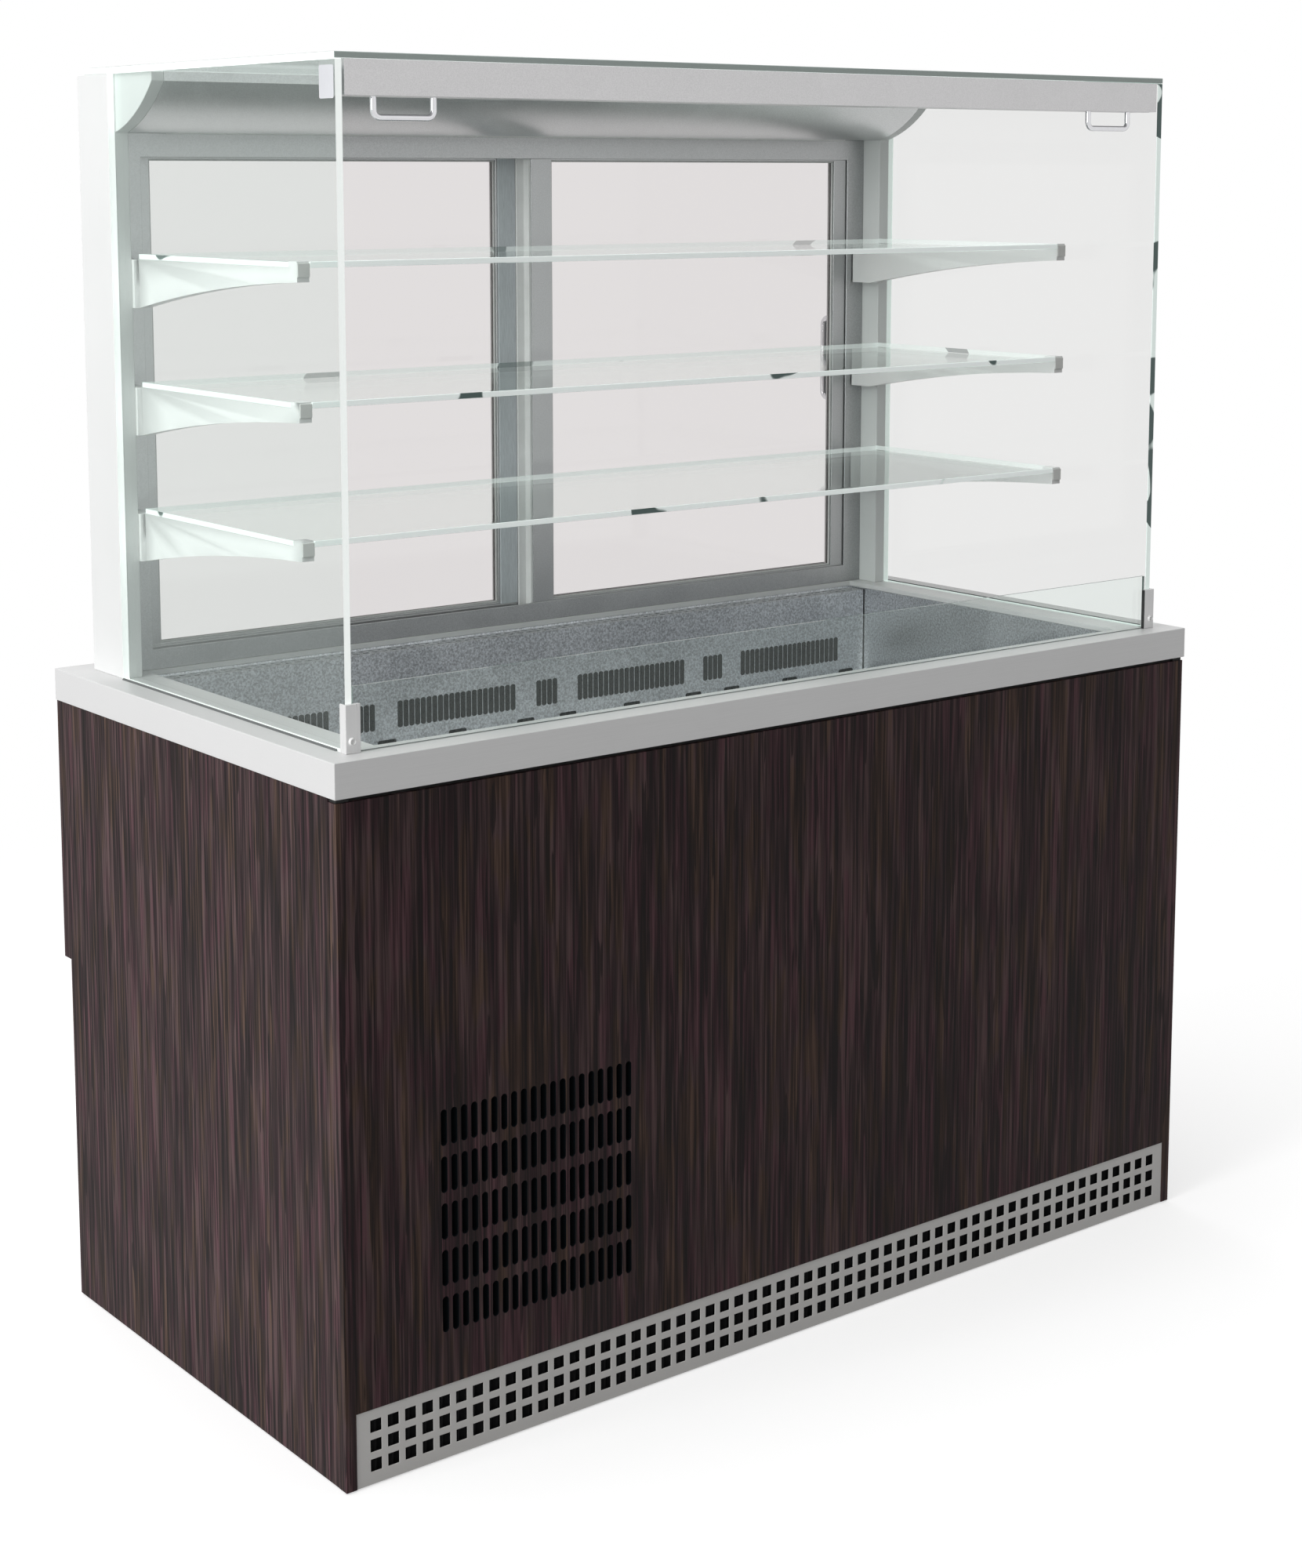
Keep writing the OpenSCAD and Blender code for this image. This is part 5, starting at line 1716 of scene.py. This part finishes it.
@dataclass
class NightBlind:
    """The night blind in its cassette behind the top front edge."""

    cassette_edge: float = 0.5
    bar_edge: float = 0.8
    place: float = 601.0  # x of a handle's middle
    reach: float = 41.5  # half a handle's width
    bar: float = 4.0
    bar_sides: int = 20
    drop: float = 24.0
    bend: float = 9.0
    tube: float = 8.0
    tube_margin: float = 3.5
    tube_edge: float = 0.3
    tube_sharp: float = 50.0
    tube_sides: int = 40
    pin_sides: int = 24
    pin: float = 3.0
    plug_rim: float = 0.8
    plug: float = 4.0
    first_gap: float = 0.3
    turn_gap: float = 0.27
    turns: int = 10
    steps: int = 24  # in a turn
    hung_steps: int = 4
    cloth: float = 0.2
    half: float = 675.0  # half the cloth's width

    def build(self) -> None:
        """Builds and dresses the blind."""
        softened("blind_cassette", "case", self.cassette_edge, [PALE_ALUMINIUM], "anodised_aluminium")
        softened("pull_bar", "blind", self.bar_edge, [PALE_ALUMINIUM], "anodised_aluminium")
        self._handles()
        self._tube()
        self._sheet()

    def _handles(self) -> None:
        """Bends the two pull handles."""
        low, high = box("pull_handles")
        start = (self.place - self.reach, (low.y + high.y) / 2, high.z)
        bar = Rod(start, (0, 0, -1), self.bar, self.bar_sides)
        bar.run(self.drop - self.bend).bend((1, 0, 0), self.bend).run(2 * (self.reach - self.bend))
        bar.bend((0, 0, 1), self.bend).run(self.drop - self.bend).close()
        bar.mirrored().piece("pull_handles_dressed", "blind", [CHROME], "chrome", ("pull_handles",))

    def _tube(self) -> None:
        """Builds the bare roller tube with its end plugs and pins."""
        low, high = box("roller_tube")
        y, z = (low.y + high.y) / 2, (low.z + high.z) / 2
        length, margin = high.x - low.x, self.tube_margin
        tube = Shape().disc((low.x, y, z), "x", self.pin, length, self.pin_sides)
        tube.disc((low.x + margin, y, z), "x", self.tube, length - 2 * margin, self.tube_sides)
        for start in (low.x + self.plug, high.x - 2 * self.plug):
            tube.disc((start, y, z), "x", self.tube + self.plug_rim, self.plug, self.tube_sides, 1)
        tube.soften(self.tube_edge, 1, self.tube_sharp)
        finishes = [ANODISED, BLACK_PLASTIC]
        tube.piece("roller_tube_dressed", "roller", finishes, "roll_fabric", ("roller_tube",))

    def _sheet(self) -> None:
        """Winds the blind cloth on its tube and hangs its free end on the pull bar."""
        low, high = box("roller_tube")
        y, z = (low.y + high.y) / 2, (low.z + high.z) / 2
        bottom = box("blind_cloth")[0].z
        shape, length = self._wound(Vector((0.0, y, z)) * MM, bottom * MM)
        flat_uv = shape.mesh.loops.layers.uv.new("cut")
        along = shape.mesh.verts.layers.float["along"]
        for face in shape.mesh.faces:
            for loop in face.loops:
                loop[flat_uv].uv = (loop.vert.co.x, loop.vert[along])
        cloth = shape.piece("blind_cloth_dressed", "case", [BLIND_CLOTH], "blind_fabric", ("blind_cloth",))
        cloth.parent = None
        wall = cloth.modifiers.new("cloth", "SOLIDIFY")
        wall.thickness = self.cloth * MM
        wall.offset = 0.0
        start, end = (0, y * MM, z * MM), (0, y * MM, bottom * MM)
        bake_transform(cloth, "case", "blind", start=start, end=end)

    def _wound(self, centre: Vector, bottom: float) -> tuple[Shape, float]:
        """Winds a cloth round the tube and lets its end hang.

        Args:
            centre: Middle of the tube in metres.
            bottom: Height of the cloth's lower end in metres.

        Returns:
            The cloth, with each vertex's place along it, and its length in metres.
        """
        shape, length = Shape(), 0.0
        along = shape.mesh.verts.layers.float.new("along")
        top = centre + Vector((0, 0, self.tube + self.first_gap)) * MM
        ends = [shape.mesh.verts.new(top + Vector((x, 0, 0)) * MM) for x in (-self.half, self.half)]
        edges = [shape.mesh.edges.new(ends)]
        turn = Matrix.Rotation(math.tau / self.steps, 3, "X")
        for _ in range(self.turns * self.steps + self.steps // 4):
            edges, moved = shape.carry(edges, (0, 0, 0))
            bmesh.ops.rotate(shape.mesh, verts=moved, cent=centre, matrix=turn)
            for vert in moved:
                arm = (vert.co - centre) * Vector((0, 1, 1))
                vert.co += arm.normalized() * self.turn_gap / self.steps * MM
            length += arm.length * math.tau / self.steps
            for vert in moved:
                vert[along] = length
        fall = (moved[0].co.z - bottom) / self.hung_steps
        for _ in range(self.hung_steps):
            edges, moved = shape.carry(edges, (0, 0, -fall))
            length += fall
            for vert in moved:
                vert[along] = length
        return shape, length


# ---- Studio ----


@dataclass
class Studio:
    """Pale floor, plain soft lamps and the camera, in metres and degrees."""

    lens: float = 59.67  # millimetres
    sensor: float = 36.0  # millimetres
    farthest: float = 100.0
    spot: Place = (-2.25476, -2.91663, 1.575)
    turn_right: float = 37.866
    look_down: float = 7.69
    shift: float = -0.165
    sky_level: float = 0.44
    sky_front: float = 0.33
    sky_left: float = 0.40
    sky_mirrored: Colour = (0.42, 0.42, 0.43)
    floor_radius: float = 30.0
    floor_sides: int = 96
    floor_bounce: Colour = (0.30, 0.30, 0.30)
    floor_near: Colour = (0.62, 0.62, 0.62)
    floor_glow: float = 0.58
    lamps: list = field(
        default_factory=lambda: [
            ("side_lamp", (-9.0, -0.7, 3.2), (0.0, 0.0, 1.0), 4.0, 400.0),
            ("high_lamp", (-2.4, -0.6, 3.0), (0.0, 0.0, 1.0), 1.6, 16.0),
            ("front_lamp", (1.2, -4.6, 2.6), (0.0, 0.0, 0.8), 3.0, 3.0),
            ("top_lamp", (0.2, 0.2, 4.6), (0.0, 0.0, 0.9), 3.0, 52.0),
            ("rear_lamp", (0.8, 4.2, 2.8), (0.0, 0.0, 0.9), 3.0, 30.0),
        ]
    )

    def build(self) -> None:
        """Builds the whole studio."""
        scene = bpy.context.scene
        scene.view_settings.view_transform = "Standard"
        self._camera(scene)
        self._world(scene)
        self._floor(scene)
        for lamp in self.lamps:
            self._lamp(scene, *lamp)

    def _camera(self, scene: bpy.types.Scene) -> None:
        """Makes the camera.

        Args:
            scene: The scene that it looks at.
        """
        data = bpy.data.cameras.new("camera")
        data.sensor_width = self.sensor
        data.lens = self.lens
        data.shift_y = self.shift
        data.clip_end = self.farthest
        made = bpy.data.objects.new("camera", data)
        made.location = self.spot
        made.rotation_euler = (math.radians(90 - self.look_down), 0, math.radians(-self.turn_right))
        scene.collection.objects.link(made)
        scene.camera = made

    def _world(self, scene: bpy.types.Scene) -> None:
        """Makes the surroundings: white as a background, softly graded as light.

        Args:
            scene: The scene that they surround.
        """
        graph = Graph(bpy.data.worlds.new("surroundings"))
        x, y, z = graph.axes(graph.node("ShaderNodeTexCoord", out="Generated"))
        front = (0.0 - y).beyond(-0.2, 1.1)
        left = (0.0 - x).beyond(-0.3, 1.2)
        level = self.sky_level - front * self.sky_front + left * self.sky_left
        soft = graph.mix(level, BLACK, WHITE)
        mirrored = graph.mix(z.beyond(0.5, 0.3), WHITE, self.sky_mirrored)
        seen = graph.ray("Camera", "Transmission").beyond(0.0, 1.0)
        shown = graph.mix(seen, graph.mix(graph.ray("Glossy"), soft, mirrored), WHITE)
        sky = graph.node("ShaderNodeBackground", None, {"Color": shown, "Strength": 1.0})
        scene.world = graph.finish(sky, "ShaderNodeOutputWorld")

    def _floor(self, scene: bpy.types.Scene) -> None:
        """Makes the pale floor, which keeps the shadow.

        Args:
            scene: The scene that it lies in.
        """
        shape = Shape()
        sides, radius = self.floor_sides, self.floor_radius
        bmesh.ops.create_circle(shape.mesh, cap_ends=True, segments=sides, radius=radius)
        data = bpy.data.meshes.new("floor")
        shape.mesh.to_mesh(data)
        shape.mesh.free()
        graph = Graph(bpy.data.materials.new("pale_floor"))
        seen = graph.ray("Camera", "Transmission", "Glossy").beyond(0.0, 1.0)
        x, y, _ = graph.axes(graph.place())
        far = ((x * x + y * y) ** 0.5).beyond(1.1, 1.7)
        matt, near = (
            graph.node("ShaderNodeBsdfDiffuse", None, {"Color": colour})
            for colour in (self.floor_bounce, self.floor_near)
        )
        lit = graph.node("ShaderNodeAddShader", None, {0: near, 1: graph.glow(WHITE, self.floor_glow)})
        shown = graph.either(far, lit, graph.glow(WHITE, 1.0))
        data.materials.append(graph.finish(graph.either(seen, matt, shown)))
        floor = bpy.data.objects.new("floor", data)
        scene.collection.objects.link(floor)

    @staticmethod
    def _lamp(scene: bpy.types.Scene, name: str, spot: Place, target: Place, size: float,
              power: float) -> None:
        """Makes a square soft lamp.

        Args:
            scene: The scene that it lights.
            name: Name of the lamp.
            spot: Its place in metres.
            target: The point that it faces.
            size: Its side in metres.
            power: Its power in watts.
        """
        data = bpy.data.lights.new(name, "AREA")
        data.size = size
        data.energy = power
        made = bpy.data.objects.new(name, data)
        made.location = spot
        made.rotation_mode = "QUATERNION"
        made.rotation_quaternion = (Vector(spot) - Vector(target)).to_track_quat("Z", "Y")
        made.visible_glossy = name != "rear_lamp"
        scene.collection.objects.link(made)


def main() -> None:
    """Builds the studio and every sub-assembly in order."""
    logging.basicConfig(level=logging.INFO, format="%(message)s")
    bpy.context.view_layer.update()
    parts = (Studio, Cabinet, Counter, Plant, RearSide, PostsAndCanopy, SlidingDoors, GlassCase, Shelving,
             NightBlind)
    for part in parts:
        LOG.info("building %s", part.__name__)
        part().build()


if __name__ == "__main__":
    main()
